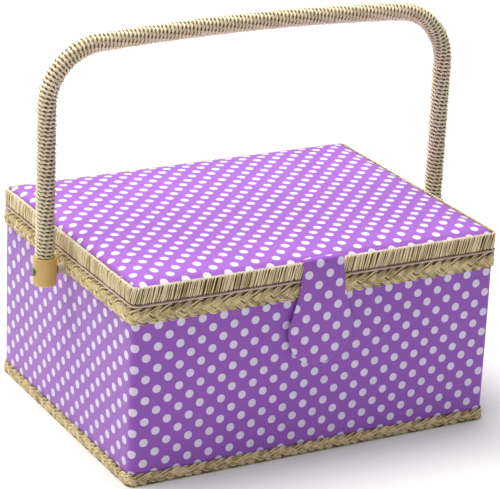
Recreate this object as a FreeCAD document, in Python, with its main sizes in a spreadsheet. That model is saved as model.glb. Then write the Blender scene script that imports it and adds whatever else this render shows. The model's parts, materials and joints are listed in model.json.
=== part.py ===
import FreeCAD, Part
import math
import os
import Sketcher

# Sewing box with two lift-out trays, a padded hinged lid with a closing tab, and a wrapped swing handle.
# Millimetres, +Z up. The origin is the middle of the footprint, on the surface that the box stands on.
# +X runs along the front, which faces -Y. The lid is closed, the tab hangs down and the handle is upright.

doc = FreeCAD.newDocument("sewing_box")

# ---------------------------------------------------------------------------------------------------
# Driving sizes
# ---------------------------------------------------------------------------------------------------

SIZES = {
    # The whole box.
    "box_length": 320.0,            # along X, over the braids and the lid's band
    "box_width": 244.0,             # along Y, over the braids and the lid's band
    "rim_height": 145.4,            # top of the box, where the lid meets it
    "corner_radius": 6.5,           # upright corners of the fabric
    "trim_thickness": 2.0,          # how far the braids and the band stand out of the fabric
    # Walls, from outside to inside.
    "cover_thickness": 3.0,         # fabric over wadding
    "board_thickness": 6.0,
    "lining_thickness": 1.2,
    "bottom_thickness": 6.0,
    "base_cover_thickness": 1.2,
    "base_braid_height": 9.9,
    "rim_braid_height": 13.5,
    # Lid.
    "lid_gap": 0.4,                 # between the closed lid and the box
    "lid_cover_thickness": 1.0,
    "lid_rail_width": 8.0,
    "lid_rail_height": 9.2,         # from the lid's underside to its board
    "lid_board_thickness": 4.0,
    "pad_thickness": 7.0,           # foam over the lid's board
    "pad_edge_radius": 6.0,
    "band_rise": 2.0,               # from the lid's board to the band's top edge
    "band_cord_height": 1.6,
    "band_cord_proud": 0.4,         # how far the cord stands out of the band
    "pincushion_length": 96.0,
    "pincushion_width": 72.0,
    "pincushion_height": 11.3,
    "pincushion_inset": 28.0,       # from the lining's side wall
    "pocket_length": 118.0,
    "pocket_width": 96.0,
    "pocket_depth": 6.8,
    "pocket_inset": 16.0,
    "pocket_sheet": 1.2,
    "pocket_seam": 4.0,
    "elastic_width": 5.0,
    # Hinges.
    "hinge_spacing": 180.0,         # between the two hinges' middles
    "hinge_width": 30.0,
    "leaf_thickness": 1.2,
    "leaf_inset": 0.8,              # from the leaf's end to the board's inner face
    "knuckle_radius": 2.2,
    "pin_radius": 1.0,
    "knuckle_gap": 0.3,
    "wood_screw_radius": 1.0,
    "wood_screw_length": 14.0,
    "wood_screw_spacing": 18.0,
    "wood_screw_head": 1.9,         # radius of the countersunk head
    # Fits.
    "running_gap": 0.3,             # between bodies that move past each other
    "pivot_clearance": 0.05,        # radial, round a pin or a pivot screw
    "fixed_clearance": 0.1,         # between pieces of one body
    # Handle.
    "pivot_drop": 10.4,             # from the rim down to the pivots
    "handle_rise": 183.0,           # from the pivots to the centre line of the handle's top
    "handle_radius": 7.8,           # over the wrapping
    "core_radius": 4.0,
    "handle_corner": 46.5,          # centre line radius of the two bends
    "handle_crown": 4.0,            # rise of the top between the bends
    "cap_radius": 9.4,
    "cap_height": 23.0,
    "cap_edge_radius": 2.5,
    "socket_depth": 7.0,
    "spacer_radius": 4.2,
    "spacer_length": 8.85,
    "screw_radius": 1.5,
    "screw_head_radius": 2.8,
    "screw_head_height": 2.4,
    "screw_sink": 1.4,              # how deep the head's seat lies in the cap
    "washer_radius": 4.0,
    "washer_thickness": 0.8,
    "nut_radius": 3.2,              # over the corners
    "nut_height": 2.4,
    "screw_end": 0.4,               # how far the screw stands out of the nut
    # Tab.
    "tab_top_half": 18.0,           # half width where the tab leaves the lid
    "tab_tip_radius": 28.5,
    "tab_drop": 84.5,               # from the band's top edge down to the tab's tip
    "tab_top_rise": 2.6,            # the tab's top, the fold and the stiffener, from the band's top edge
    "tab_fold_rise": 1.9,
    "stiffener_drop": 1.0,
    "tab_cover_thickness": 2.3,
    "tab_backing_thickness": 0.8,
    "stiffener_thickness": 1.0,
    "stiffener_inset": 3.5,
    "tab_gap": 0.4,                 # between the tab and the lid's band
    "tab_fold_radius": 1.5,
    "magnet_radius": 6.0,
    "magnet_thickness": 2.0,        # of the one in the front wall
    "magnet_rise": 21.5,            # from the tab's tip
    # Trays.
    "tray_drop": 59.4,              # from the rim down to the ledges that the trays stand on
    "ledge_width": 8.0,
    "ledge_height": 6.0,
    "tray_height": 40.0,
    "tray_wall": 2.0,
    "tray_corner_radius": 6.0,
    "tray_side_gap": 5.3,           # between a tray and the side lining, clear of the nut
    "tray_end_gap": 1.0,            # between a tray and the front or back lining
    "tray_half_gap": 0.75,          # from the middle of the box to a tray
    "tray_cross_wall": 26.0,        # from the middle of the box to the wall across each tray
    "finger_radius": 13.0,
    "divider_thickness": 1.4,
    "divider_groove": 0.8,
    "divider_drop": 3.0,            # from the tray's rim to a divider's top
    "divider_spacing": 44.0,
}

ALLOWANCE = 2.0                     # how far a cutting solid runs past the face it cuts

sheet = doc.addObject("Spreadsheet::Sheet", "Sizes")
for row, (alias, number) in enumerate(SIZES.items(), start=1):
    sheet.set("A%d" % row, alias)
    sheet.set("B%d" % row, str(number))
    sheet.setAlias("B%d" % row, alias)
doc.recompute()


class Size:
    """A length that carries both its spreadsheet expression and its present value."""

    def __init__(self, text, value):
        self.text = text
        self.value = value

    def join(self, sign, other, value):
        return Size("(%s %s %s)" % (self.text, sign, as_size(other).text), value)

    def __add__(self, other):
        return self.join("+", other, self.value + as_size(other).value)

    def __radd__(self, other):
        return as_size(other) + self

    def __sub__(self, other):
        return self.join("-", other, self.value - as_size(other).value)

    def __rsub__(self, other):
        return as_size(other) - self

    def __mul__(self, other):
        return self.join("*", other, self.value * as_size(other).value)

    def __rmul__(self, other):
        return as_size(other) * self

    def __truediv__(self, other):
        return self.join("/", other, self.value / as_size(other).value)

    def __neg__(self):
        return Size("(0 - %s)" % self.text, -self.value)


def as_size(thing):
    if isinstance(thing, Size):
        return thing
    return Size("(%s)" % float(thing), float(thing))


def root(size):
    return Size("sqrt(%s)" % size.text, math.sqrt(size.value))


class Sheet:
    """Reads a driving size by its alias, as a Size."""

    def __getattr__(self, alias):
        return Size("Sizes.%s" % alias, SIZES[alias])


s = Sheet()

# ---------------------------------------------------------------------------------------------------
# Helpers: each makes one bound object of the document
# ---------------------------------------------------------------------------------------------------

nodes = []
TURN = {
    "X": FreeCAD.Rotation(FreeCAD.Vector(0, 1, 0), 90),
    "Y": FreeCAD.Rotation(FreeCAD.Vector(1, 0, 0), -90),
    "Z": FreeCAD.Rotation(),
}


def bind(thing, **sizes):
    """Ties each property named to its expression."""
    for name, size in sizes.items():
        thing.setExpression(name, as_size(size).text)


def place(thing, x, y, z, turn=None):
    if turn is not None:
        thing.Placement = FreeCAD.Placement(FreeCAD.Vector(), turn)
    for letter, size in zip("xyz", (x, y, z)):
        thing.setExpression("Placement.Base." + letter, as_size(size).text)


def finish(thing, label):
    """Names a finished sub-part."""
    thing.Label = label
    nodes.append(thing)
    return thing


def box(name, x, y, z):
    """A plain box between the two limits given along each axis."""
    solid = doc.addObject("Part::Box", name)
    bind(solid, Length=x[1] - x[0], Width=y[1] - y[0], Height=z[1] - z[0])
    place(solid, x[0], y[0], z[0])
    return solid


def rod(name, axis, radius, start, length):
    """A cylinder along an axis, from a start point towards the axis's positive end."""
    solid = doc.addObject("Part::Cylinder", name)
    bind(solid, Radius=radius, Height=length)
    place(solid, *start, turn=TURN[axis])
    return solid


def fuse(name, parts):
    joined = doc.addObject("Part::MultiFuse", name)
    joined.Shapes = parts
    return joined


def cut(name, base, tools):
    """Takes every tool out of the base."""
    result = doc.addObject("Part::Cut", name)
    result.Base = base
    result.Tool = tools[0] if len(tools) == 1 else fuse(name + "_tools", tools)
    return result


def common(name, base, tool):
    result = doc.addObject("Part::Common", name)
    result.Base = base
    result.Tool = tool
    return result


def edge_names(shape, test):
    return ["Edge%d" % number for number, edge in enumerate(shape.Edges, start=1) if test(edge)]


def is_upright(edge):
    first, last = edge.Vertexes[0].Point, edge.Vertexes[-1].Point
    return abs(first.x - last.x) < 1e-6 and abs(first.y - last.y) < 1e-6 and abs(first.z - last.z) > 1e-6


def lies_at(height):
    return lambda edge: all(abs(vertex.Point.z - height) < 1e-6 for vertex in edge.Vertexes)


def block(name, x, y, z, corner=None, top=None, bottom=None):
    """A body: a box whose upright corners, top edge and bottom edge are rounded where a radius is given."""
    body = doc.addObject("PartDesign::Body", name)
    last = body.newObject("PartDesign::AdditiveBox", name + "_box")
    bind(last, Length=x[1] - x[0], Width=y[1] - y[0], Height=z[1] - z[0])
    place(last, x[0], y[0], z[0])
    rounds = (("corners", corner, is_upright),
              ("top", top, lies_at(as_size(z[1]).value)),
              ("bottom", bottom, lies_at(as_size(z[0]).value)))
    for word, radius, test in rounds:
        if radius is None:
            continue
        doc.recompute()
        fillet = body.newObject("PartDesign::Fillet", "%s_%s" % (name, word))
        fillet.Base = (last, edge_names(last.Shape, test))
        bind(fillet, Radius=radius)
        last = fillet
    body.Tip = last
    return body


def both(half):
    """The two limits of a length centred on the origin."""
    return (-half, half)


def ring(name, half_x, half_y, thickness, z, corner, inner_corner=None):
    """An upright band that follows a rounded rectangle."""
    outer = block(name + "_outer", both(half_x), both(half_y), z, corner=corner)
    inner = block(name + "_inner", both(half_x - thickness), both(half_y - thickness),
                  (z[0] - ALLOWANCE, z[1] + ALLOWANCE), corner=inner_corner)
    return cut(name, outer, [inner])


def four_sides(frame, half_x, half_y, thickness, z, labels):
    """Cuts a frame into a front and a back piece of full length, with the two side pieces between them."""
    reach_x = both(half_x + ALLOWANCE)
    reach_z = (z[0] - ALLOWANCE, z[1] + ALLOWANCE)
    inner_y = half_y - thickness
    regions = (
        (reach_x, (-half_y - ALLOWANCE, -inner_y)),
        (reach_x, (inner_y, half_y + ALLOWANCE)),
        ((-half_x - ALLOWANCE, as_size(0)), both(inner_y)),
        ((as_size(0), half_x + ALLOWANCE), both(inner_y)),
    )
    pieces = []
    for label, (x, y) in zip(labels, regions):
        region = box(label + "_region", x, y, reach_z)
        pieces.append(common(label + "_piece", frame, region))
    return pieces


def sketch_on(body, role, name):
    """A sketch on one of the body's own origin planes."""
    plane = next(item for item in body.Origin.OriginFeatures if item.Role == role)
    sketch = body.newObject("Sketcher::SketchObject", name)
    sketch.AttachmentSupport = [(plane, "")]
    sketch.MapMode = "FlatFace"
    return sketch


def dimension(sketch, name, size, *rule):
    """A driving constraint whose value comes from the sheet."""
    index = sketch.addConstraint(Sketcher.Constraint(*rule, size.value))
    sketch.renameConstraint(index, name)
    sketch.setExpression("Constraints." + name, size.text)


def arc(centre_x, centre_y, radius, start, end):
    """An arc of a sketch, from one angle to the other, anticlockwise, in degrees."""
    circle = Part.Circle(FreeCAD.Vector(centre_x, centre_y, 0), FreeCAD.Vector(0, 0, 1), radius)
    return Part.ArcOfCircle(circle, math.radians(start), math.radians(end))


# ---------------------------------------------------------------------------------------------------
# Places worked out from the driving sizes
# ---------------------------------------------------------------------------------------------------

half_length = s.box_length / 2
half_width = s.box_width / 2
fabric_x = half_length - s.trim_thickness
fabric_y = half_width - s.trim_thickness
board_x = fabric_x - s.cover_thickness
board_y = fabric_y - s.cover_thickness
board_corner = s.corner_radius - s.cover_thickness
wall_x = board_x - s.board_thickness
wall_y = board_y - s.board_thickness
lining_x = wall_x - s.lining_thickness
lining_y = wall_y - s.lining_thickness
trim_corner = s.corner_radius + s.trim_thickness
board_top = s.rim_height - s.lining_thickness
bottom_top = s.base_cover_thickness + s.bottom_thickness
floor_top = bottom_top + s.lining_thickness

lid_bottom = s.rim_height + s.lid_gap
lid_frame_x = fabric_x - s.lid_cover_thickness
lid_frame_y = fabric_y - s.lid_cover_thickness
lid_corner = s.corner_radius - s.lid_cover_thickness
rail_bottom = lid_bottom + s.lining_thickness
lid_board_bottom = lid_bottom + s.lid_rail_height
lid_board_top = lid_board_bottom + s.lid_board_thickness
foam_top = lid_board_top + s.pad_thickness
lid_inner_x = lid_frame_x - s.lid_rail_width
lid_inner_y = lid_frame_y - s.lid_rail_width
lid_ceiling = lid_board_bottom - s.lining_thickness
band_top = lid_board_top + s.band_rise
cord_top = lid_bottom + s.band_cord_height

hinge_y = half_width + s.running_gap + s.knuckle_radius
hinge_z = s.rim_height + s.lid_gap / 2
hinge_middles = (-s.hinge_spacing / 2, s.hinge_spacing / 2)
SIDES = (("left", -1), ("right", 1))

pivot_x = fabric_x + s.spacer_length + s.running_gap + s.cap_radius
pivot_z = s.rim_height - s.pivot_drop
handle_top = pivot_z + s.handle_rise
shank_hole = s.screw_radius + s.fixed_clearance

tab_inner_y = -half_width - s.tab_gap
tab_cover_y = tab_inner_y - s.tab_backing_thickness
tab_top = band_top + s.tab_top_rise
tab_tip = band_top - s.tab_drop
stiffener_top = band_top - s.stiffener_drop
magnet_z = tab_tip + s.magnet_rise
ledge_top = s.rim_height - s.tray_drop


def side_range(sign, near, far):
    """Limits along X of a piece on one side, from its distance nearer the middle to its farther one."""
    return (near, far) if sign > 0 else (-far, -near)


# ---------------------------------------------------------------------------------------------------
# Box: boards, coverings, braids
# ---------------------------------------------------------------------------------------------------

def hinge_mortises(name, y, z):
    """One cutting box for each hinge leaf."""
    half = s.hinge_width / 2 + s.fixed_clearance
    return [box("%s_%s" % (name, side), (middle - half, middle + half), y, z)
            for (side, sign), middle in zip(SIDES, hinge_middles)]


def pivot_holes(name, radius, near, far):
    """One cutting cylinder through each side wall, where the handle's screw passes."""
    return [rod("%s_%s" % (name, side), "X", radius, (side_range(sign, near, far)[0], 0, pivot_z),
                far - near)
            for side, sign in SIDES]


def hinge_screw_places():
    """The places of the wood screws along X, and their common place along Y."""
    middle_y = (wall_y + board_y) / 2
    return [(middle + sign * s.wood_screw_spacing / 2, middle_y)
            for middle in hinge_middles for sign in (-1, 1)]


def make_bottom():
    cover = block("base_cover", both(fabric_x), both(fabric_y), (as_size(0), s.base_cover_thickness),
                  corner=s.corner_radius)
    finish(cover, "base_cover")
    board = block("bottom_board", both(board_x), both(board_y), (s.base_cover_thickness, bottom_top),
                  corner=board_corner)
    finish(board, "bottom_board")


def make_walls():
    z = (bottom_top, board_top)
    frame = ring("wall_frame", board_x, board_y, s.board_thickness, z, board_corner)
    labels = ("front_panel", "back_panel", "left_panel", "right_panel")
    front, back, left, right = four_sides(frame, board_x, board_y, s.board_thickness, z, labels)
    recess = rod("box_magnet_recess", "Y", s.magnet_radius + s.fixed_clearance,
                 (0, -board_y - ALLOWANCE, magnet_z),
                 s.magnet_thickness + s.fixed_clearance + ALLOWANCE)
    finish(cut("front_wall", front, [recess]), "front_panel")
    depth = s.wood_screw_length - s.leaf_thickness
    pilots = [rod("back_pilot_%d" % number, "Z", s.wood_screw_radius + s.pivot_clearance,
                  (x, y, board_top - depth - s.fixed_clearance), depth + ALLOWANCE)
              for number, (x, y) in enumerate(hinge_screw_places())]
    finish(cut("back_wall", back, pilots), "back_panel")
    for side, piece, hole in zip(("left", "right"), (left, right),
                                 pivot_holes("panel_hole", shank_hole, wall_x - ALLOWANCE,
                                             board_x + ALLOWANCE)):
        finish(cut("%s_wall" % side, piece, [hole]), "%s_panel" % side)


def make_outer_cover():
    z = (s.base_cover_thickness, s.rim_height)
    skin = ring("cover_skin", fabric_x, fabric_y, s.cover_thickness, z, s.corner_radius, board_corner)
    mortises = hinge_mortises("cover_mortise", (board_y - s.fixed_clearance, fabric_y + ALLOWANCE),
                              (s.rim_height - s.leaf_thickness, s.rim_height + ALLOWANCE))
    holes = pivot_holes("cover_hole", shank_hole, board_x - ALLOWANCE, fabric_x + ALLOWANCE)
    finish(cut("outer_fabric", skin, mortises + holes), "outer_cover")


def make_lining():
    walls = ring("lining_skin", wall_x, wall_y, s.lining_thickness, (floor_top, board_top), None)
    edge = ring("lining_edge", board_x, board_y, s.board_thickness + s.lining_thickness,
                (board_top, s.rim_height), board_corner)
    whole = fuse("lining_whole", [walls, edge])
    mortises = hinge_mortises("lining_mortise",
                              (wall_y + s.leaf_inset - s.fixed_clearance, board_y + ALLOWANCE),
                              (board_top - s.fixed_clearance, s.rim_height + ALLOWANCE))
    holes = pivot_holes("lining_hole", shank_hole, lining_x - ALLOWANCE, wall_x + ALLOWANCE)
    finish(cut("wall_fabric", whole, mortises + holes), "wall_lining")
    floor = box("floor_lining", both(lining_x + s.lining_thickness), both(lining_y + s.lining_thickness),
                (bottom_top, floor_top))
    finish(floor, "floor_lining")


def make_braids():
    base = ring("base_plait", half_length, half_width, s.trim_thickness, (as_size(0), s.base_braid_height),
                trim_corner, s.corner_radius)
    finish(base, "base_braid")
    rim = ring("rim_plait", half_length, half_width, s.trim_thickness,
               (s.rim_height - s.rim_braid_height, s.rim_height), trim_corner, s.corner_radius)
    mortises = hinge_mortises("braid_mortise", (fabric_y - ALLOWANCE, half_width + ALLOWANCE),
                              (s.rim_height - s.leaf_thickness, s.rim_height + ALLOWANCE))
    holes = pivot_holes("braid_hole", s.spacer_radius + s.fixed_clearance, fabric_x - ALLOWANCE,
                        half_length + ALLOWANCE)
    finish(cut("rim_trim", rim, mortises + holes), "rim_braid")


def make_ledges():
    z = (ledge_top - s.ledge_height, ledge_top)
    finish(box("ledge_front", both(lining_x), (-lining_y, -lining_y + s.ledge_width), z), "ledge_front")
    finish(box("ledge_back", both(lining_x), (lining_y - s.ledge_width, lining_y), z), "ledge_back")


def make_box_magnet():
    disc = rod("box_magnet", "Y", s.magnet_radius, (0, -board_y, magnet_z), s.magnet_thickness)
    finish(disc, "box_magnet")


# ---------------------------------------------------------------------------------------------------
# Lid: frame, board, padding, band, lining and what hangs under it
# ---------------------------------------------------------------------------------------------------

def make_lid_frame():
    z = (rail_bottom, lid_board_bottom)
    frame = ring("lid_frame", lid_frame_x, lid_frame_y, s.lid_rail_width, z, lid_corner)
    labels = ("lid_rail_front", "lid_rail_back", "lid_rail_left", "lid_rail_right")
    front, back, left, right = four_sides(frame, lid_frame_x, lid_frame_y, s.lid_rail_width, z, labels)
    finish(front, "lid_rail_front")
    depth = lid_board_bottom - rail_bottom
    pilots = [rod("rail_pilot_%d" % number, "Z", s.wood_screw_radius + s.pivot_clearance,
                  (x, y, rail_bottom - ALLOWANCE), depth + ALLOWANCE * 2)
              for number, (x, y) in enumerate(hinge_screw_places())]
    finish(cut("back_rail", back, pilots), "lid_rail_back")
    finish(left, "lid_rail_left")
    finish(right, "lid_rail_right")
    board = block("lid_panel", both(lid_frame_x), both(lid_frame_y), (lid_board_bottom, lid_board_top),
                  corner=lid_corner)
    board_pilots = [rod("board_pilot_%d" % number, "Z", s.wood_screw_radius + s.pivot_clearance,
                        (x, y, lid_board_bottom - ALLOWANCE),
                        ALLOWANCE + lid_screw_end() - lid_board_bottom + s.fixed_clearance)
                    for number, (x, y) in enumerate(hinge_screw_places())]
    finish(cut("lid_top_board", board, board_pilots), "lid_board")


def lid_screw_end():
    """Height of the tips of the screws that go up into the lid."""
    return lid_bottom + s.wood_screw_length - ALLOWANCE


def make_lid_padding():
    foam = block("lid_foam", both(lid_frame_x), both(lid_frame_y), (lid_board_top, foam_top),
                 corner=lid_corner, top=s.pad_edge_radius - s.lid_cover_thickness)
    finish(foam, "lid_foam")
    outside = block("lid_skin_outer", both(fabric_x), both(fabric_y),
                    (cord_top, foam_top + s.lid_cover_thickness), corner=s.corner_radius,
                    top=s.pad_edge_radius)
    inside = block("lid_skin_inner", both(lid_frame_x), both(lid_frame_y), (cord_top - ALLOWANCE, foam_top),
                   corner=lid_corner, top=s.pad_edge_radius - s.lid_cover_thickness)
    finish(cut("lid_skin", outside, [inside]), "lid_cover")


def make_lid_band():
    band = ring("band_straw", half_length, half_width, s.trim_thickness, (cord_top, band_top),
                trim_corner, s.corner_radius)
    finish(band, "lid_band")
    proud = s.band_cord_proud
    cord = ring("band_edge_cord", half_length + proud, half_width + proud, s.trim_thickness + proud,
                (lid_bottom, cord_top), trim_corner + proud, s.corner_radius)
    mortises = hinge_mortises("cord_mortise", (fabric_y - ALLOWANCE, half_width + proud + ALLOWANCE),
                              (lid_bottom - ALLOWANCE, cord_top + ALLOWANCE))
    below = hinge_mortises("barrel_room", (half_width - s.fixed_clearance, half_width + proud + ALLOWANCE),
                           (lid_bottom - ALLOWANCE, cord_top + ALLOWANCE))
    finish(cut("band_edge", cord, mortises + below), "lid_band_cord")


def make_lid_lining():
    lining_outer_x = lid_inner_x
    lining_outer_y = lid_inner_y
    walls = ring("lid_lining_walls", lining_outer_x, lining_outer_y, s.lining_thickness,
                 (lid_bottom, lid_ceiling), None)
    ceiling = box("lid_lining_ceiling", both(lining_outer_x), both(lining_outer_y),
                  (lid_ceiling, lid_board_bottom))
    edge = ring("lid_lining_edge", lid_frame_x, lid_frame_y, s.lid_rail_width + s.lining_thickness,
                (lid_bottom, rail_bottom), lid_corner)
    whole = fuse("lid_lining_whole", [walls, ceiling, edge])
    mortises = hinge_mortises("lid_mortise",
                              (wall_y + s.leaf_inset - s.fixed_clearance, fabric_y + ALLOWANCE),
                              (lid_bottom - ALLOWANCE, lid_bottom + s.leaf_thickness))
    finish(cut("lid_fabric", whole, mortises), "lid_lining")


def make_pincushion():
    near = lid_inner_x - s.lining_thickness - s.pincushion_inset - s.pincushion_length
    cushion = block("pincushion", side_range(-1, near, near + s.pincushion_length),
                    both(s.pincushion_width / 2), (lid_ceiling - s.pincushion_height, lid_ceiling),
                    corner=s.pincushion_height, bottom=s.pincushion_height / 2)
    finish(cushion, "pincushion")


def make_lid_pocket():
    far = lid_inner_x - s.lining_thickness - s.pocket_inset
    x = (far - s.pocket_length, far)
    y = both(s.pocket_width / 2)
    bottom = lid_ceiling - s.pocket_depth
    outer = block("pocket_outer", x, y, (bottom, lid_ceiling))
    slot = block("pocket_slot", (x[0] + s.pocket_seam, x[1] - s.pocket_seam),
                 (y[0] - ALLOWANCE, y[1] - s.pocket_seam),
                 (bottom + s.pocket_sheet, lid_ceiling + ALLOWANCE))
    finish(cut("pocket_pouch", outer, [slot]), "lid_pocket")
    hem = box("pocket_hem", x, (y[0] - s.elastic_width, y[0]), (bottom, bottom + s.pocket_sheet))
    finish(hem, "pocket_elastic")


# ---------------------------------------------------------------------------------------------------
# Hinges
# ---------------------------------------------------------------------------------------------------

def knuckle(name, middle, low, high, z, bore):
    """Part of the barrel, with the bridge that joins it to its leaf."""
    barrel = rod(name + "_barrel", "X", s.knuckle_radius, (middle + low, hinge_y, hinge_z), high - low)
    bridge = box(name + "_bridge", (middle + low, middle + high), (half_width - s.running_gap, hinge_y), z)
    solid = fuse(name + "_solid", [barrel, bridge])
    hole = rod(name + "_bore", "X", s.pin_radius + bore, (middle + low - ALLOWANCE, hinge_y, hinge_z),
               high - low + ALLOWANCE * 2)
    return cut(name, solid, [hole])


def screw_holes(name, middle, z):
    """Countersinks are left out of so thin a leaf: each hole takes the head's full width."""
    middle_y = (wall_y + board_y) / 2
    return [rod("%s_%d" % (name, number), "Z", s.wood_screw_head + s.pivot_clearance,
                (middle + sign * s.wood_screw_spacing / 2, middle_y, z[0] - ALLOWANCE),
                z[1] - z[0] + ALLOWANCE * 2)
            for number, sign in enumerate((-1, 1))]


def make_hinges():
    half = s.hinge_width / 2
    third = s.hinge_width / 6
    box_z = (s.rim_height - s.leaf_thickness, s.rim_height)
    lid_z = (lid_bottom, lid_bottom + s.leaf_thickness)
    plate_y = (wall_y + s.leaf_inset, half_width - s.running_gap)
    for (side, sign), middle in zip(SIDES, hinge_middles):
        for word, z in (("box", box_z), ("lid", lid_z)):
            name = "hinge_%s_%s" % (word, side)
            plate = box(name + "_plate", (middle - half, middle + half), plate_y, z)
            holes = screw_holes(name + "_hole", middle, z)
            if word == "box":
                barrels = [knuckle(name + "_knuckle_a", middle, -half, -third - s.knuckle_gap, z,
                                   s.pivot_clearance / 2),
                           knuckle(name + "_knuckle_b", middle, third + s.knuckle_gap, half, z,
                                   s.pivot_clearance / 2)]
            else:
                barrels = [knuckle(name + "_knuckle", middle, -third, third, z, s.pivot_clearance)]
            leaf = cut(name + "_leaf", plate, holes)
            finish(fuse(name + "_whole", [leaf] + barrels), "hinge_%s_leaf_%s" % (word, side))
        pin = rod("hinge_pin_" + side, "X", s.pin_radius, (middle - half, hinge_y, hinge_z), s.hinge_width)
        finish(pin, "hinge_pin_" + side)


def wood_screw(name, x, y, head_z, upward):
    """A flat-headed screw whose head fills the leaf's hole; it points down, or up when upward is set."""
    shank = s.wood_screw_length - s.leaf_thickness
    if upward:
        shank = lid_screw_end() - lid_bottom - s.leaf_thickness
        head = rod(name + "_head", "Z", s.wood_screw_head, (x, y, head_z), s.leaf_thickness)
        body = rod(name + "_shank", "Z", s.wood_screw_radius, (x, y, head_z + s.leaf_thickness), shank)
    else:
        head = rod(name + "_head", "Z", s.wood_screw_head, (x, y, head_z - s.leaf_thickness),
                   s.leaf_thickness)
        body = rod(name + "_shank", "Z", s.wood_screw_radius, (x, y, head_z - s.leaf_thickness - shank),
                   shank)
    return fuse(name, [head, body])


def make_hinge_screws():
    down = [wood_screw("box_screw_%d" % number, x, y, s.rim_height, False)
            for number, (x, y) in enumerate(hinge_screw_places())]
    finish(fuse("box_screws", down), "hinge_screws_box")
    up = [wood_screw("lid_screw_%d" % number, x, y, lid_bottom, True)
          for number, (x, y) in enumerate(hinge_screw_places())]
    finish(fuse("lid_screws", up), "hinge_screws_lid")


# ---------------------------------------------------------------------------------------------------
# Tab
# ---------------------------------------------------------------------------------------------------

def tab_plate(name, top_half, top_z, tip_radius, tip_z, near_y, thickness):
    """A body: the paddle outline, padded towards the front. The sides are arcs that leave the top
    upright and meet the round tip tangentially."""
    body = doc.addObject("PartDesign::Body", name)
    sketch = sketch_on(body, "XZ_Plane", name + "_outline")
    centre_z = tip_z + tip_radius
    rise = top_z.value - centre_z.value
    half, tip = top_half.value, tip_radius.value
    flare = (half * half + rise * rise - tip * tip) / (2 * (tip - half))
    slope = math.degrees(math.atan2(rise, half + flare))
    top, right, end, left = 0, 1, 2, 3
    sketch.addGeometry(Part.LineSegment(FreeCAD.Vector(-half, top_z.value, 0),
                                        FreeCAD.Vector(half, top_z.value, 0)))
    sketch.addGeometry(arc(half + flare, top_z.value, flare, 180, 180 + slope))
    sketch.addGeometry(arc(0, centre_z.value, tip, 180 - slope, 360 + slope))
    sketch.addGeometry(arc(-half - flare, top_z.value, flare, 360 - slope, 360))
    origin, upright = -1, -2
    for rule in (("Symmetric", top, 1, top, 2, upright),
                 ("Coincident", top, 2, right, 1), ("Coincident", left, 2, top, 1),
                 ("Tangent", right, 2, end, 2), ("Tangent", end, 1, left, 1),
                 ("PointOnObject", end, 3, upright),
                 ("Horizontal", right, 3, right, 1), ("Horizontal", left, 3, left, 2)):
        sketch.addConstraint(Sketcher.Constraint(*rule))
    dimension(sketch, "top_width", top_half * 2, "DistanceX", top, 1, top, 2)
    dimension(sketch, "top_height", top_z, "DistanceY", origin, 1, top, 1)
    dimension(sketch, "tip_height", centre_z, "DistanceY", origin, 1, end, 3)
    dimension(sketch, "tip_radius", tip_radius, "Radius", end)
    pad = body.newObject("PartDesign::Pad", name + "_pad")
    pad.Profile = sketch
    bind(pad, Length=thickness)
    body.Tip = pad
    place(body, 0, near_y, 0)
    return body


def make_tab():
    inset = s.stiffener_inset
    magnet = rod("tab_magnet", "Y", s.magnet_radius, (0, tab_cover_y - s.stiffener_thickness,
                                                     magnet_z), s.stiffener_thickness)
    core = tab_plate("stiffener_plate", s.tab_top_half - inset, stiffener_top,
                     s.tab_tip_radius - inset, tab_tip + inset, tab_cover_y,
                     s.stiffener_thickness)
    seat = rod("magnet_seat", "Y", s.magnet_radius + s.fixed_clearance,
               (0, tab_cover_y - s.stiffener_thickness - ALLOWANCE, magnet_z),
               s.stiffener_thickness + ALLOWANCE * 2)
    outside = tab_plate("tab_face", s.tab_top_half, tab_top, s.tab_tip_radius, tab_tip,
                        tab_cover_y, s.tab_cover_thickness)
    room = tab_plate("tab_room", s.tab_top_half - inset + s.fixed_clearance,
                     stiffener_top + s.fixed_clearance, s.tab_tip_radius - inset + s.fixed_clearance,
                     tab_tip + inset - s.fixed_clearance, tab_cover_y, s.stiffener_thickness)
    back = tab_plate("tab_back", s.tab_top_half, tab_top, s.tab_tip_radius, tab_tip,
                     tab_inner_y, s.tab_backing_thickness)
    fold = rod("tab_fold", "X", s.tab_fold_radius, (-s.tab_top_half, tab_fold_y(), band_top + s.tab_fold_rise),
               s.tab_top_half * 2)
    finish(cut("tab_front", outside, [room]), "tab_cover")
    finish(fuse("tab_strap", [back, fold]), "tab_backing")
    finish(cut("tab_core", core, [seat]), "tab_stiffener")
    finish(magnet, "tab_magnet")


def tab_fold_y():
    """The fold lies over the band's top edge and just reaches into the tab's back sheet."""
    return tab_cover_y + s.fixed_clearance + s.tab_fold_radius


# ---------------------------------------------------------------------------------------------------
# Handle and its pivots
# ---------------------------------------------------------------------------------------------------

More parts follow.
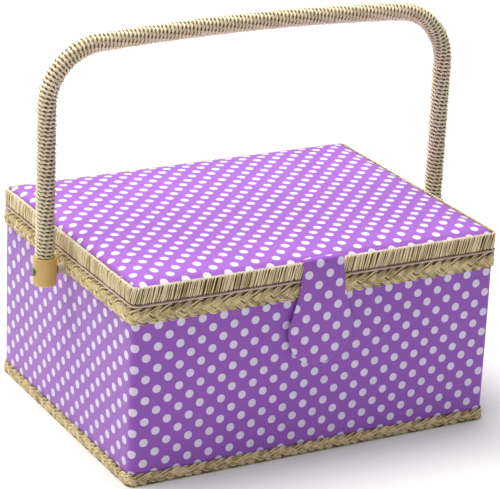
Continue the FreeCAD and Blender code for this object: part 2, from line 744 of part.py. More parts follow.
def handle_bar(name, radius, foot_z):
    """A body: a round bar up one leg, over the crowned top and down the other."""
    body = doc.addObject("PartDesign::Body", name)
    bend = s.handle_corner
    reach = pivot_x - bend
    crown = (reach * reach + s.handle_crown * s.handle_crown) / (s.handle_crown * 2)
    bend_z = handle_top - crown + root((crown - bend) * (crown - bend) - reach * reach)
    lean = math.degrees(math.asin(reach.value / (crown.value - bend.value)))
    x, foot, top = pivot_x.value, foot_z.value, bend_z.value

    path = sketch_on(body, "XZ_Plane", name + "_path")
    left, left_bend, over, right_bend, right = range(5)
    path.addGeometry(Part.LineSegment(FreeCAD.Vector(-x, foot, 0), FreeCAD.Vector(-x, top, 0)))
    path.addGeometry(arc(-reach.value, top, bend.value, 90 + lean, 180))
    path.addGeometry(arc(0, handle_top.value - crown.value, crown.value, 90 - lean, 90 + lean))
    path.addGeometry(arc(reach.value, top, bend.value, 0, 90 - lean))
    path.addGeometry(Part.LineSegment(FreeCAD.Vector(x, top, 0), FreeCAD.Vector(x, foot, 0)))
    origin, upright = -1, -2
    for rule in (("Vertical", left), ("Vertical", right),
                 ("Tangent", left, 2, left_bend, 2), ("Tangent", left_bend, 1, over, 2),
                 ("Tangent", over, 1, right_bend, 2), ("Tangent", right_bend, 1, right, 1),
                 ("Symmetric", left, 1, right, 2, upright), ("Equal", left_bend, right_bend)):
        path.addConstraint(Sketcher.Constraint(*rule))
    dimension(path, "span", pivot_x * 2, "DistanceX", left, 1, right, 2)
    dimension(path, "foot_height", foot_z, "DistanceY", origin, 1, left, 1)
    dimension(path, "bend_radius", bend, "Radius", left_bend)
    dimension(path, "crown_radius", crown, "Radius", over)
    dimension(path, "bend_height", bend_z, "DistanceY", origin, 1, left, 2)

    section = sketch_on(body, "XY_Plane", name + "_section")
    section.setExpression("AttachmentOffset.Base.z", foot_z.text)
    section.addGeometry(Part.Circle(FreeCAD.Vector(-x, 0, 0), FreeCAD.Vector(0, 0, 1), radius.value))
    section.addConstraint(Sketcher.Constraint("PointOnObject", 0, 3, -1))
    dimension(section, "offset", pivot_x, "DistanceX", 0, 3, origin, 1)
    dimension(section, "radius", radius, "Radius", 0)
    doc.recompute()
    pipe = body.newObject("PartDesign::AdditivePipe", name + "_pipe")
    pipe.Profile = section
    pipe.Spine = (path, ["Edge%d" % number for number in range(1, 6)])
    body.Tip = pipe
    return body


def make_handle():
    foot = pivot_z + s.cap_height / 2 - s.socket_depth + s.fixed_clearance
    core = handle_bar("handle_core", s.core_radius, foot)
    outside = handle_bar("wrap_outside", s.handle_radius, foot)
    hollow = handle_bar("wrap_hollow", s.core_radius, foot)
    finish(core, "handle_core")
    finish(cut("handle_wrapping", outside, [hollow]), "handle_wrap")


def make_caps():
    low = pivot_z - s.cap_height / 2
    high = pivot_z + s.cap_height / 2
    seat_x = pivot_x + s.cap_radius - s.screw_sink
    head_room = s.screw_head_radius + s.running_gap
    for side, sign in SIDES:
        name = "cap_" + side
        x = sign * pivot_x
        body = doc.addObject("PartDesign::Body", name + "_body")
        drum = body.newObject("PartDesign::AdditiveCylinder", name + "_drum")
        bind(drum, Radius=s.cap_radius, Height=s.cap_height)
        place(drum, x, 0, low)
        doc.recompute()
        rounding = body.newObject("PartDesign::Fillet", name + "_rounding")
        rounding.Base = (drum, edge_names(drum.Shape, lies_at(low.value)))
        bind(rounding, Radius=s.cap_edge_radius)
        body.Tip = rounding
        socket = rod(name + "_socket", "Z", s.handle_radius + s.fixed_clearance,
                     (x, 0, high - s.socket_depth), s.socket_depth + ALLOWANCE)
        near, far = pivot_x - s.cap_radius - ALLOWANCE, pivot_x + s.cap_radius + ALLOWANCE
        bore = rod(name + "_bore", "X", s.screw_radius + s.pivot_clearance,
                   (side_range(sign, near, far)[0], 0, pivot_z), far - near)
        sink = rod(name + "_sink", "X", head_room,
                   (side_range(sign, seat_x, far)[0], 0, pivot_z), far - seat_x)
        finish(cut(name + "_cut", body, [socket, bore, sink]), "handle_cap_" + side)


def make_pivots():
    head_x = pivot_x + s.cap_radius - s.screw_sink + s.running_gap
    washer_x = lining_x - s.washer_thickness
    nut_x = washer_x - s.nut_height
    end_x = nut_x - s.screw_end
    for side, sign in SIDES:
        def along(name, radius, near, far):
            start = side_range(sign, near, far)[0]
            return rod("%s_%s" % (name, side), "X", radius, (start, 0, pivot_z), far - near)

        shank = along("pivot_shank", s.screw_radius, end_x, head_x)
        head = along("pivot_head", s.screw_head_radius, head_x, head_x + s.screw_head_height)
        finish(fuse("pivot_screw_" + side, [shank, head]), "handle_screw_" + side)

        tube = along("spacer_tube", s.spacer_radius, fabric_x, fabric_x + s.spacer_length)
        hole = along("spacer_hole", shank_hole, fabric_x - ALLOWANCE, pivot_x)
        finish(cut("spacer_" + side, tube, [hole]), "handle_spacer_" + side)

        disc = along("washer_disc", s.washer_radius, washer_x, lining_x)
        hole = along("washer_hole", shank_hole, washer_x - ALLOWANCE, lining_x + ALLOWANCE)
        finish(cut("washer_" + side, disc, [hole]), "handle_washer_" + side)

        prism = doc.addObject("Part::Prism", "nut_prism_" + side)
        prism.Polygon = 6
        bind(prism, Circumradius=s.nut_radius, Height=s.nut_height)
        place(prism, side_range(sign, nut_x, washer_x)[0], 0, pivot_z, turn=TURN["X"])
        hole = along("nut_hole", s.screw_radius + s.pivot_clearance, nut_x - ALLOWANCE,
                     washer_x + ALLOWANCE)
        finish(cut("nut_" + side, prism, [hole]), "handle_nut_" + side)


# ---------------------------------------------------------------------------------------------------
# Trays
# ---------------------------------------------------------------------------------------------------

def make_tray(side, sign):
    """A moulded tray: a wide part at the front that two loose dividers split, two fixed cells behind."""
    low = ledge_top + s.running_gap
    high = low + s.tray_height
    near = s.tray_half_gap
    far = lining_x - s.tray_side_gap
    end_y = lining_y - s.tray_end_gap
    wall = s.tray_wall
    name = "tray_" + side
    x = side_range(sign, near, far)
    shell = block(name + "_shell", x, both(end_y), (low, high), corner=s.tray_corner_radius)
    inside_x = (x[0] + wall, x[1] - wall)
    cell_z = (low + wall, high + ALLOWANCE)
    cell_corner = s.tray_corner_radius - wall
    cross = s.tray_cross_wall
    middle = (x[0] + x[1]) / 2
    cells = [
        block(name + "_cell_front", inside_x, (-end_y + wall, cross - wall / 2), cell_z,
              corner=cell_corner),
        block(name + "_cell_a", (inside_x[0], middle - wall / 2), (cross + wall / 2, end_y - wall),
              cell_z, corner=cell_corner),
        block(name + "_cell_b", (middle + wall / 2, inside_x[1]), (cross + wall / 2, end_y - wall),
              cell_z, corner=cell_corner),
    ]
    finger_start = side_range(sign, near - ALLOWANCE / 4, near + wall + ALLOWANCE)[0]
    finger = rod(name + "_finger", "X", s.finger_radius, (finger_start, 0, high),
                 wall + ALLOWANCE + ALLOWANCE / 4)
    groove_half = s.divider_thickness / 2 + s.fixed_clearance
    grooves = []
    dividers = []
    front_middle = (cross - wall / 2 - end_y + wall) / 2
    for word, step in (("front", -0.5), ("rear", 0.5)):
        y = front_middle + step * s.divider_spacing
        grooves.append(box("%s_groove_%s" % (name, word),
                           (inside_x[0] - s.divider_groove, inside_x[1] + s.divider_groove),
                           (y - groove_half, y + groove_half), cell_z))
        reach = s.divider_groove - s.fixed_clearance
        plate = box("%s_divider_%s" % (name, word), (inside_x[0] - reach, inside_x[1] + reach),
                    (y - s.divider_thickness / 2, y + s.divider_thickness / 2),
                    (low + wall, high - s.divider_drop))
        dividers.append((plate, "%s_divider_%s" % (name, word)))
    finish(cut(name + "_cut", shell, cells + [finger] + grooves), name)
    for plate, label in dividers:
        finish(plate, label)


# ---------------------------------------------------------------------------------------------------
# Build, check and write
# ---------------------------------------------------------------------------------------------------

make_bottom()
make_walls()
make_outer_cover()
make_lining()
make_braids()
make_ledges()
make_box_magnet()
make_lid_frame()
make_lid_padding()
make_lid_band()
make_lid_lining()
make_pincushion()
make_lid_pocket()
make_hinges()
make_hinge_screws()
make_tab()
make_handle()
make_caps()
make_pivots()
for side, sign in SIDES:
    make_tray(side, sign)

doc.recompute()

for item in doc.Objects:
    if "Invalid" in item.State or "Error" in item.State:
        raise RuntimeError("%s failed: %s" % (item.Label, item.State))
for item in nodes:
    if item.Shape.isNull() or not item.Shape.isValid():
        raise RuntimeError("%s has no valid shape" % item.Label)
labels = [item.Label for item in nodes]
if len(set(labels)) != len(labels):
    raise RuntimeError("two sub-parts share a name")

os.makedirs("parts", exist_ok=True)
for item in nodes:
    item.Shape.exportStep("parts/%s.step" % item.Label)
    limits = item.Shape.BoundBox
    print("%-28s %8.0f mm3  x %7.1f %7.1f  y %7.1f %7.1f  z %6.1f %6.1f" % (
        item.Label, item.Shape.Volume, limits.XMin, limits.XMax, limits.YMin, limits.YMax,
        limits.ZMin, limits.ZMax))
print(len(nodes), "sub-parts")
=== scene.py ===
"""The looks of a cloth-covered sewing box: dotted cotton, grass plaits and a cord-wrapped handle."""

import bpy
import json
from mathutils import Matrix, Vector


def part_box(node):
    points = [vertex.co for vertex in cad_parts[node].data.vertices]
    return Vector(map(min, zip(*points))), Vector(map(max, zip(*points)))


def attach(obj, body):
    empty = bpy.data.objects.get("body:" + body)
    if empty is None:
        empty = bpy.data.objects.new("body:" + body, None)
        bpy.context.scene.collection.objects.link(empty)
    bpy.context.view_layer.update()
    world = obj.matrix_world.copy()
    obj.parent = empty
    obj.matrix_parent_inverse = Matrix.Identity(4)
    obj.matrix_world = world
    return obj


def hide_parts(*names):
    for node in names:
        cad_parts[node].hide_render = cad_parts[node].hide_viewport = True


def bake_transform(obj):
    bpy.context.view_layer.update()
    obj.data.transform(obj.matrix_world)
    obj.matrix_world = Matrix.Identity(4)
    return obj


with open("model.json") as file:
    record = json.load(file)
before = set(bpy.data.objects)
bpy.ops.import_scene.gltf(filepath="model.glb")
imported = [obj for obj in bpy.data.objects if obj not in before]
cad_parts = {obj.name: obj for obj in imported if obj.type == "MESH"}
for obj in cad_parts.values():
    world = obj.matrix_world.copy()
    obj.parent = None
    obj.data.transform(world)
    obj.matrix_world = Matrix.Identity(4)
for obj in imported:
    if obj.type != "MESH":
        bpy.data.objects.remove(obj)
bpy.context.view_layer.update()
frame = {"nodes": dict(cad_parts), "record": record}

import json
import math

import bmesh
import bpy
from mathutils import Vector, noise

MM = 0.001
TURN = 2 * math.pi
scene = bpy.context.scene


def add_object(name, data):
    """Links new data to the scene."""
    made = bpy.data.objects.new(name, data)
    scene.collection.objects.link(made)
    return made


# ---- camera, light and floor


LOOK_ROUND, LOOK_DOWN, LOOK_ROLL = -29.1, 20.5, 2.5
LENS = 172.7
LOOK_AT = Vector((0.070, 0.119, 0.080))
LOOK_FROM = 2.083
SENSOR = 36
FAR_CLIP = 20
SKY_COLOUR = (0.84, 0.87, 1.0, 1.0)
SKY_STRENGTH = 0.27
KEY_PLACE = (-0.42, 0.66, 2.70)
KEY_TARGET = (0.0, 0.0, 0.10)
KEY_SIZE = 2.4
KEY_POWER = 146.0
KEY_COLOUR = (1.0, 0.98, 0.92)
FLOOR_REACH = 30.0


def add_camera():
    """A long lens from the front left, a little above, with a slight roll."""
    turned, raised, rolled = (math.radians(angle) for angle in (LOOK_ROUND, LOOK_DOWN, LOOK_ROLL))
    flat = math.cos(raised)
    away = Vector((math.sin(turned) * flat, -math.cos(turned) * flat, math.sin(raised)))
    level = Vector((0, 0, 1)).cross(away).normalized()
    upright = away.cross(level)
    right = level * math.cos(rolled) + upright * math.sin(rolled)
    top = upright * math.cos(rolled) - level * math.sin(rolled)
    camera = add_object("camera", bpy.data.cameras.new("camera"))
    camera.data.sensor_width = SENSOR
    camera.data.lens = LENS
    camera.data.clip_end = FAR_CLIP
    place = LOOK_AT + away * LOOK_FROM
    for column, axis in enumerate((right, top, away, place)):
        for row in range(3):
            camera.matrix_world[row][column] = axis[row]
    scene.camera = camera


def add_studio():
    """Pale sky light all round, and one large square light above, a little left and behind."""
    world = bpy.data.worlds.new("studio")
    world.use_nodes = True
    sky = world.node_tree.nodes["Background"]
    sky.inputs["Color"].default_value = SKY_COLOUR
    sky.inputs["Strength"].default_value = SKY_STRENGTH
    scene.world = world
    scene.view_settings.view_transform = "Standard"
    lamp = bpy.data.lights.new("light_above_left", "AREA")
    lamp.shape = "SQUARE"
    lamp.size = KEY_SIZE
    lamp.energy = KEY_POWER
    lamp.color = KEY_COLOUR
    light = add_object("light_above_left", lamp)
    light.location = KEY_PLACE
    aim = Vector(KEY_TARGET) - Vector(KEY_PLACE)
    light.rotation_euler = aim.to_track_quat("-Z", "Y").to_euler()


# ---- node trees written as sums


class Value:
    """A socket of a node tree. Python sums on it add the nodes that work them out."""

    def __init__(self, graph, socket):
        self.graph = graph
        self.socket = socket

    def __add__(self, other):
        return self.graph.maths("ADD", self, other)

    def __sub__(self, other):
        return self.graph.maths("SUBTRACT", self, other)

    def __rsub__(self, other):
        return self.graph.maths("SUBTRACT", other, self)

    def __mul__(self, other):
        return self.graph.maths("MULTIPLY", self, other)

    def __truediv__(self, other):
        return self.graph.maths("DIVIDE", self, other)

    def __rtruediv__(self, other):
        return self.graph.maths("DIVIDE", other, self)

    def __pow__(self, other):
        return self.graph.maths("POWER", self, other)

    __radd__ = __add__
    __rmul__ = __mul__


class Graph:
    """A node tree, and the short names of what is put in it."""

    def __init__(self, tree):
        self.tree = tree

    def node(self, kind, settings=None, values=None, out=0):
        """A node of that type: its settings first, then each socket's value or link."""
        made = self.tree.nodes.new(kind)
        for name, setting in (settings or {}).items():
            if name == "stops":
                set_stops(made.color_ramp, setting)
            else:
                setattr(made, name, setting)
        values = values if isinstance(values, dict) else dict(enumerate(values or []))
        for name, value in values.items():
            if isinstance(value, Value):
                self.tree.links.new(value.socket, made.inputs[name])
            else:
                made.inputs[name].default_value = value
        return Value(self, made.outputs[out]) if len(made.outputs) else made

    def maths(self, operation, *values):
        return self.node("ShaderNodeMath", {"operation": operation}, values)

    def vectors(self, operation, *values, **named):
        sockets = {**dict(enumerate(values)), **named}
        return self.node("ShaderNodeVectorMath", {"operation": operation}, sockets)

    def sine(self, value):
        return self.maths("SINE", value)

    def cosine(self, value):
        return self.maths("COSINE", value)

    def join(self, x, y, z):
        return self.node("ShaderNodeCombineXYZ", {}, (x, y, z))

    def split(self, vector):
        return [self.node("ShaderNodeSeparateXYZ", {}, (vector,), out) for out in range(3)]

    def smooth(self, value, low, high):
        """0 below low, 1 above high, and an even slope between."""
        settings = {"interpolation_type": "SMOOTHSTEP"}
        return self.node("ShaderNodeMapRange", settings, {0: value, 1: low, 2: high})

    def chance(self, number, seed):
        """A number from 0 to 1 that is fixed for each whole number."""
        sockets = {"W": number * 1.37 + seed}
        return self.node("ShaderNodeTexWhiteNoise", {"noise_dimensions": "1D"}, sockets)

    def cloud(self, vector, scale, detail=2.0):
        """Soft noise from 0 to 1."""
        sockets = {"Vector": vector, "Scale": scale, "Detail": detail}
        return self.node("ShaderNodeTexNoise", {}, sockets)

    def blend(self, factor, first, second):
        """One colour over another. Each is a link or three numbers."""
        pair = [(*tone, 1.0) if isinstance(tone, tuple) else tone for tone in (first, second)]
        sockets = {0: factor, 6: pair[0], 7: pair[1]}
        return self.node("ShaderNodeMix", {"data_type": "RGBA"}, sockets, 2)


def set_stops(ramp, stops):
    """Gives a colour ramp its stops."""
    while len(ramp.elements) < len(stops):
        ramp.elements.new(1.0)
    for element, (place, colour) in zip(ramp.elements, stops):
        element.position = place
        element.color = (*colour, 1.0)


# ---- finishes


def finish(name, paint, **fixed):
    """A material. paint(graph) gives what varies over the surface; fixed sits on the shader."""
    material = bpy.data.materials.new(name)
    material.use_nodes = True
    material.node_tree.nodes.clear()
    graph = Graph(material.node_tree)
    varied = paint(graph)
    height = varied.pop("height", None)
    depth = varied.pop("depth", 0.2 * MM)
    if height is not None:
        sockets = {"Height": height, "Distance": depth, "Strength": 1.0}
        varied["Normal"] = graph.node("ShaderNodeBump", {}, sockets)
    fixed = {key.replace("_", " "): value for key, value in fixed.items()}
    shader = graph.node("ShaderNodeBsdfPrincipled", {}, {**fixed, **varied})
    graph.node("ShaderNodeOutputMaterial", {}, (shader,))
    return material


def place_on_object(graph):
    return graph.node("ShaderNodeTexCoord", out="Object")


DOT_ACROSS = 18.1 * MM
DOT_UP = 17.4 * MM
DOT_RADIUS = 3.35 * MM
DOT_EDGE = 0.22 * MM


def dot_distance(graph, across, up, shift):
    """How far a point of the cloth is from the nearest dot of one square net."""
    over = (graph.maths("FRACT", across + 0.5 + shift) - 0.5) * DOT_ACROSS
    above = (graph.maths("FRACT", up + 0.5 + shift) - 0.5) * DOT_UP
    return graph.maths("SQRT", over * over + above * above)


def paint_dotted_cotton(graph):
    """Lilac cotton with white printed dots in staggered rows, and a fine plain weave."""
    cloth = graph.node("ShaderNodeUVMap", {"uv_map": "cloth"})
    across, up, _ = graph.split(cloth)
    cells = (across / DOT_ACROSS, up / DOT_UP)
    nearest = graph.maths(
        "MINIMUM", dot_distance(graph, *cells, 0.0), dot_distance(graph, *cells, 0.5)
    )
    place = place_on_object(graph)
    print_edge = nearest + (graph.cloud(cloth, 900.0) - 0.5) * 0.25 * MM
    dots = 1 - graph.smooth(print_edge, DOT_RADIUS - DOT_EDGE, DOT_RADIUS + DOT_EDGE)
    yarn = TURN / (0.42 * MM)
    weave = graph.sine(across * yarn) * graph.sine(up * yarn)
    fade = graph.cloud(place, 14.0, 3.0)
    slub = graph.cloud(graph.vectors("MULTIPLY", cloth, (120.0, 900.0, 1.0)), 1.0)
    lilac = graph.blend(fade, (0.295, 0.078, 0.520), (0.370, 0.112, 0.600))
    lilac = graph.blend((slub - 0.35) * 0.5, lilac, (0.420, 0.180, 0.660))
    white = graph.blend(fade, (0.80, 0.71, 0.91), (0.88, 0.79, 0.97))
    return {
        "Base Color": graph.blend(dots, lilac, white),
        "Roughness": 0.50 + 0.14 * slub + 0.05 * dots,
        "height": weave * 0.5 + slub * 0.6 + dots * 0.3,
        "depth": 0.06 * MM,
    }


def paint_lining_cotton(graph):
    """Pale lilac lining cotton with its crosswise threads showing."""
    place = place_on_object(graph)
    yarn = TURN / (0.5 * MM)
    x, y, z = graph.split(place)
    weave = graph.sine((x + y) * yarn) * graph.sine((z + x - y) * yarn)
    slub = graph.cloud(graph.vectors("MULTIPLY", place, (90.0, 90.0, 900.0)), 1.0)
    fade = graph.cloud(place, 11.0, 3.0)
    cloth = graph.blend(fade, (0.62, 0.49, 0.74), (0.72, 0.60, 0.82))
    cloth = graph.blend((slub - 0.3) * 0.6, cloth, (0.82, 0.73, 0.90))
    return {
        "Base Color": cloth,
        "Roughness": 0.62 + 0.2 * slub,
        "height": weave * 0.5 + slub,
        "depth": 0.08 * MM,
    }


def grass(dark, middle, pale, streak=1.0, painted_groove_shade=0.6, level=0.0):
    """Dyed paper grass: each strand its own tone, with streaks along it, painted shade in the gaps between
    strands and painted light on their ridges.
    """

    def paint(graph):
        strand, run, side, crest = (
            graph.node("ShaderNodeAttribute", {"attribute_name": label}, out="Fac")
            for label in ("strand", "run", "side", "crest")
        )
        place = place_on_object(graph)
        own = graph.chance(strand, 4.1)
        fibre_place = graph.join(run * 240.0, graph.sine(side * TURN) * 2.2, strand * 3.1)
        fibre = graph.cloud(fibre_place, 1.0, 3.0)
        patch = graph.cloud(place, 85.0, 2.0)
        tone = own * 0.60 + fibre * 0.55 * streak + patch * 0.70 - 0.46 + level
        # Painted shade: darker in the gaps between strands and on their hidden sides, a little lighter on
        # their ridges.
        tone = tone + (graph.smooth(crest, -0.6, 0.9) - 0.75) * painted_groove_shade
        stops = [(0.05, dark), (0.45, middle), (0.85, pale)]
        shade = graph.node("ShaderNodeValToRGB", {"stops": stops}, (tone,))
        return {
            "Base Color": shade,
            "Roughness": 0.48 + 0.25 * fibre,
            "height": fibre + graph.cloud(fibre_place, 3.5, 2.0) * 0.5,
            "depth": 0.18 * MM,
        }

    return paint


def moulded(base, shade, speck=0.0, rough=0.3):
    """Moulded plastic: a faint cloud in the colour and a fine grain."""

    def paint(graph):
        place = place_on_object(graph)
        cloud = graph.cloud(place, 38.0, 3.0)
        grain = graph.cloud(place, 1400.0, 2.0)
        tint = graph.blend(cloud, base, shade)
        tint = graph.blend((grain - 0.45) * speck, tint, shade)
        return {
            "Base Color": tint,
            "Roughness": rough + 0.10 * cloud + 0.06 * grain,
            "height": grain + cloud * 2.0,
            "depth": 0.02 * MM,
        }

    return paint


def metal(base, worn, rough):
    """Plated metal with fine scratches and dull patches."""

    def paint(graph):
        place = place_on_object(graph)
        scratch = graph.cloud(graph.vectors("MULTIPLY", place, (300.0, 5000.0, 900.0)), 1.0, 3.0)
        patch = graph.cloud(place, 160.0, 3.0)
        return {
            "Base Color": graph.blend(patch, base, worn),
            "Roughness": rough + 0.18 * scratch + 0.15 * patch,
            "height": scratch,
            "depth": 0.02 * MM,
        }

    return paint


def board(base, fleck, coarse):
    """Pressed board or batten wood: fibres drawn out along the length."""

    def paint(graph):
        place = place_on_object(graph)
        grain = graph.cloud(graph.vectors("MULTIPLY", place, (40.0, coarse, coarse)), 1.0, 4.0)
        fluff = graph.cloud(place, 700.0, 2.0)
        tint = graph.blend(grain, base, fleck)
        return {
            "Base Color": graph.blend((fluff - 0.4) * 0.5, tint, base),
            "Roughness": 0.75 + 0.15 * grain,
            "height": grain + fluff * 0.5,
            "depth": 0.12 * MM,
        }

    return paint


def napped(base, light, scale):
    """Velvet, felt, foam or card: a short nap or open cells."""

    def paint(graph):
        place = place_on_object(graph)
        nap = graph.cloud(place, scale, 3.0)
        drift = graph.cloud(place, 60.0, 2.0)
        return {
            "Base Color": graph.blend(nap * 0.6 + drift * 0.4, base, light),
            "Roughness": 0.75 + 0.2 * nap,
            "height": nap,
            "depth": 0.15 * MM,
        }

    return paint


ELASTIC_RIB = 1.1 * MM


def paint_elastic(graph):
    """Woven elastic: ribs across its width, with painted shade between the ribs."""
    place = place_on_object(graph)
    x, _, _ = graph.split(place)
    ribs = graph.sine(x * (TURN / ELASTIC_RIB))
    fade = graph.cloud(place, 300.0)
    # Painted shade: the colour darkens between the ribs and lightens on them.
    tone = ribs * 0.25 + fade * 0.5
    return {
        "Base Color": graph.blend(tone, (0.80, 0.74, 0.86), (0.93, 0.90, 0.95)),
        "Roughness": 0.6 + 0.2 * fade,
        "height": ribs,
        "depth": 0.15 * MM,
    }


def paint_floor(graph):
    """Pale backing paper."""
    place = place_on_object(graph)
    fade = graph.cloud(place, 1.5, 2.0)
    return {
        "Base Color": graph.blend(fade, (0.79, 0.79, 0.795), (0.81, 0.81, 0.81)),
        "Roughness": 0.85 + 0.1 * graph.cloud(place, 9.0),
    }


dotted_cotton = finish("dotted_cotton", paint_dotted_cotton, Sheen_Weight=0.40, Sheen_Roughness=0.35)
lining_cotton = finish("lining_cotton", paint_lining_cotton, Sheen_Weight=0.15)
GRASS_TONES = {
    "band_grass": ((0.130, 0.078, 0.025), (0.600, 0.420, 0.175), (0.990, 0.850, 0.560), 1.2, 0.8, 0.06),
    # Paler than the band's grass: a painted highlight along the band's top edge.
    "edge_highlight_grass": ((0.480, 0.360, 0.230), (0.920, 0.820, 0.660), (0.990, 0.940, 0.840)),
    "plait_grass": ((0.045, 0.024, 0.006), (0.420, 0.285, 0.108), (0.980, 0.820, 0.480), 1.6, 0.9, -0.19),
    "handle_grass": ((0.400, 0.270, 0.125), (0.780, 0.600, 0.350), (0.990, 0.890, 0.670), 1.1, 0.45, 0.14),
    "brown_cord": ((0.260, 0.165, 0.105), (0.620, 0.440, 0.320), (0.900, 0.740, 0.600), 1.0, 0.3),
    # A dark grass for the sheets behind the plait and the band: painted shade.
    "painted_shade_grass": ((0.060, 0.036, 0.014), (0.150, 0.098, 0.045), (0.280, 0.200, 0.105)),
}
GRASSES = {name: finish(name, grass(*tones)) for name, tones in GRASS_TONES.items()}
AMBER = {"Coat_Weight": 0.3, "Coat_Roughness": 0.2, "Subsurface_Weight": 0.25, "Subsurface_Scale": 0.004}
PAINTS = {
    "base_paper": (napped((0.30, 0.24, 0.16), (0.44, 0.36, 0.25), 900.0), {}),
    "board": (board((0.36, 0.26, 0.16), (0.55, 0.43, 0.29), 420.0), {}),
    "batten": (board((0.62, 0.45, 0.26), (0.76, 0.60, 0.39), 260.0), {}),
    "foam": (napped((0.80, 0.77, 0.66), (0.92, 0.90, 0.80), 1500.0), {}),
    "pincushion_fabric": (napped((0.20, 0.055, 0.33), (0.42, 0.17, 0.58), 1300.0), {"Sheen_Weight": 0.6}),
    "elastic": (paint_elastic, {}),
    "stiffener": (napped((0.75, 0.72, 0.66), (0.85, 0.83, 0.78), 500.0), {}),
    "magnet": (metal((0.12, 0.12, 0.13), (0.25, 0.24, 0.23), 0.4), {"Metallic": 0.6}),
    "core": (board((0.60, 0.45, 0.25), (0.74, 0.60, 0.40), 500.0), {}),
    "amber_cap": (moulded((0.60, 0.375, 0.078), (0.76, 0.53, 0.150), 0.3, 0.24), AMBER),
    "spacer": (moulded((0.44, 0.39, 0.29), (0.58, 0.52, 0.41), 0.3, 0.35), {}),
    "steel": (metal((0.30, 0.28, 0.25), (0.16, 0.13, 0.10), 0.32), {"Metallic": 1.0}),
    "brass": (metal((0.72, 0.50, 0.22), (0.48, 0.34, 0.17), 0.25), {"Metallic": 1.0}),
    "tray_plastic": (
        moulded((0.82, 0.80, 0.86), (0.74, 0.72, 0.80), 0.2, 0.22),
        {"Coat_Weight": 0.2, "Alpha": 0.86},
    ),
    "divider_plastic": (moulded((0.80, 0.78, 0.84), (0.90, 0.88, 0.93), 0.3, 0.3), {}),
}
FINISHES = {name: finish(name, paint, **fixed) for name, (paint, fixed) in PAINTS.items()}
FINISHES["lining_fabric"] = lining_cotton
FINISHES["dotted_fabric"] = dotted_cotton
FINISHES["braid"] = GRASSES["plait_grass"]
FINISHES["straw"] = GRASSES["band_grass"]
FINISHES["brown_cord"] = GRASSES["brown_cord"]


# ---- the box's plan


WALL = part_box("outer_cover")[1]
WALL_CORNER = 4.5 * MM
WADDING = 0.7 * MM
LONG = WALL.x + WADDING - WALL_CORNER
SHORT = WALL.y + WADDING - WALL_CORNER
LEAST_CORNER = 0.6 * MM
ROUND = 4 * (LONG + SHORT) + TURN * WALL_CORNER


def stations(step=8 * MM, corner_steps=6):
    """Steps round the box, anticlockwise from the middle of the back.

    Each is a point of the corners' frame, the way out, and the length from the front's middle.
    """
    found = []

    def straight(start, end, out):
        count = max(1, round((end - start).length / step))
        for index in range(count):
            found.append((start.lerp(end, index / count), out))

    def turn(centre, first):
        for index in range(corner_steps):
            angle = math.radians(first + 90 * index / corner_steps)
            found.append((centre, Vector((math.cos(angle), math.sin(angle)))))

    back = Vector((0, SHORT))
    spots = ((-LONG, SHORT), (-LONG, -SHORT), (LONG, -SHORT), (LONG, SHORT))
    corners = [Vector(spot) for spot in spots]
    ways = [Vector(way) for way in ((0, 1), (-1, 0), (0, -1), (1, 0))]
    for index, corner in enumerate(corners):
        straight(corners[index - 1] if index else back, corner, ways[index])
        turn(corner, 90 * (index + 1) % 360)
    straight(corners[-1], back, ways[0])
    length = -ROUND / 2
    measured = []
    for index, (point, out) in enumerate(found):
        measured.append((point, out, length))
        next_point, next_out = found[(index + 1) % len(found)]
        here = point + out * WALL_CORNER
        there = next_point + next_out * WALL_CORNER
        length += (there - here).length
    return measured


STATIONS = stations()
FINE_STATIONS = stations(3 * MM, 9)


def at(station, reach, height):
    """The point that lies reach out from the corners' frame, or inside it with small corners."""
    point, out, _ = station
    inset = max(0.0, LEAST_CORNER - reach)
    reach = max(LEAST_CORNER, reach)
    x = point.x * (1 - inset / LONG) + out.x * reach
    y = point.y * (1 - inset / SHORT) + out.y * reach
    return Vector((x, y, height))


def reach_of(x):
    """The reach of a face that stands at x on the box's ends."""
    return x - LONG


def lies_between(value, low, high):
    """0 at low, 1 at high, with an even slope between."""
    share = min(1.0, max(0.0, (value - low) / (high - low)))
    return share * share * (3 - 2 * share)


# ---- how the dotted cloth was cut


class Cut:
    """A panel of the dotted cloth: where one dot lies on it, in millimetres, and how it was pulled.

    slope is how much a row of dots rises along itself, and lean how far a column tips over.
    """

    def __init__(self, start, stretch=(1.0, 1.0), slope=0.0, lean=0.0, skipped=0.0, mirrored=False):
        self.start = start
        self.stretch = stretch
        self.slope = slope
        self.lean = lean
        self.skipped = skipped
        self.mirrored = mirrored

    def place(self, x, y):
        """Where a point of the panel lies in the cloth, in metres."""
        x = x - self.start[0] * MM
        y = y - self.start[1] * MM
        size = 1 - self.slope * self.lean
        over = (x - self.lean * y) / size / self.stretch[0]
        above = (y - self.slope * x) / size / self.stretch[1]
        return self.skipped * DOT_ACROSS + (-over if self.mirrored else over), above


FRONT_CUT = Cut((7.5, 9.0), (1.0, 0.985))
LEFT_CUT = Cut((12.0, 11.0), (1.01, 1.02), 0.015, -0.015, skipped=-16, mirrored=True)
TOP_CUT = Cut((1.5, 16.5), (0.985, 0.99), -0.01, -0.06)
TAB_CUT = Cut((11.0, 0.0), (1.01, 1.02), -0.02, 0.02)


def wall_cloth(length, height):
    """The wall's cloth runs on round the front left corner, a little slanted on that end."""
    front = FRONT_CUT.place(length, height)
    corner = -LONG - TURN * WALL_CORNER / 8
    end_y = -(length + LONG + TURN * WALL_CORNER / 4) - SHORT
    left = LEFT_CUT.place(end_y, height)
    share = 1 - lies_between(length, corner - 70 * MM, corner + 45 * MM)
    return tuple(a + (b - a) * share for a, b in zip(front, left))


# ---- meshes


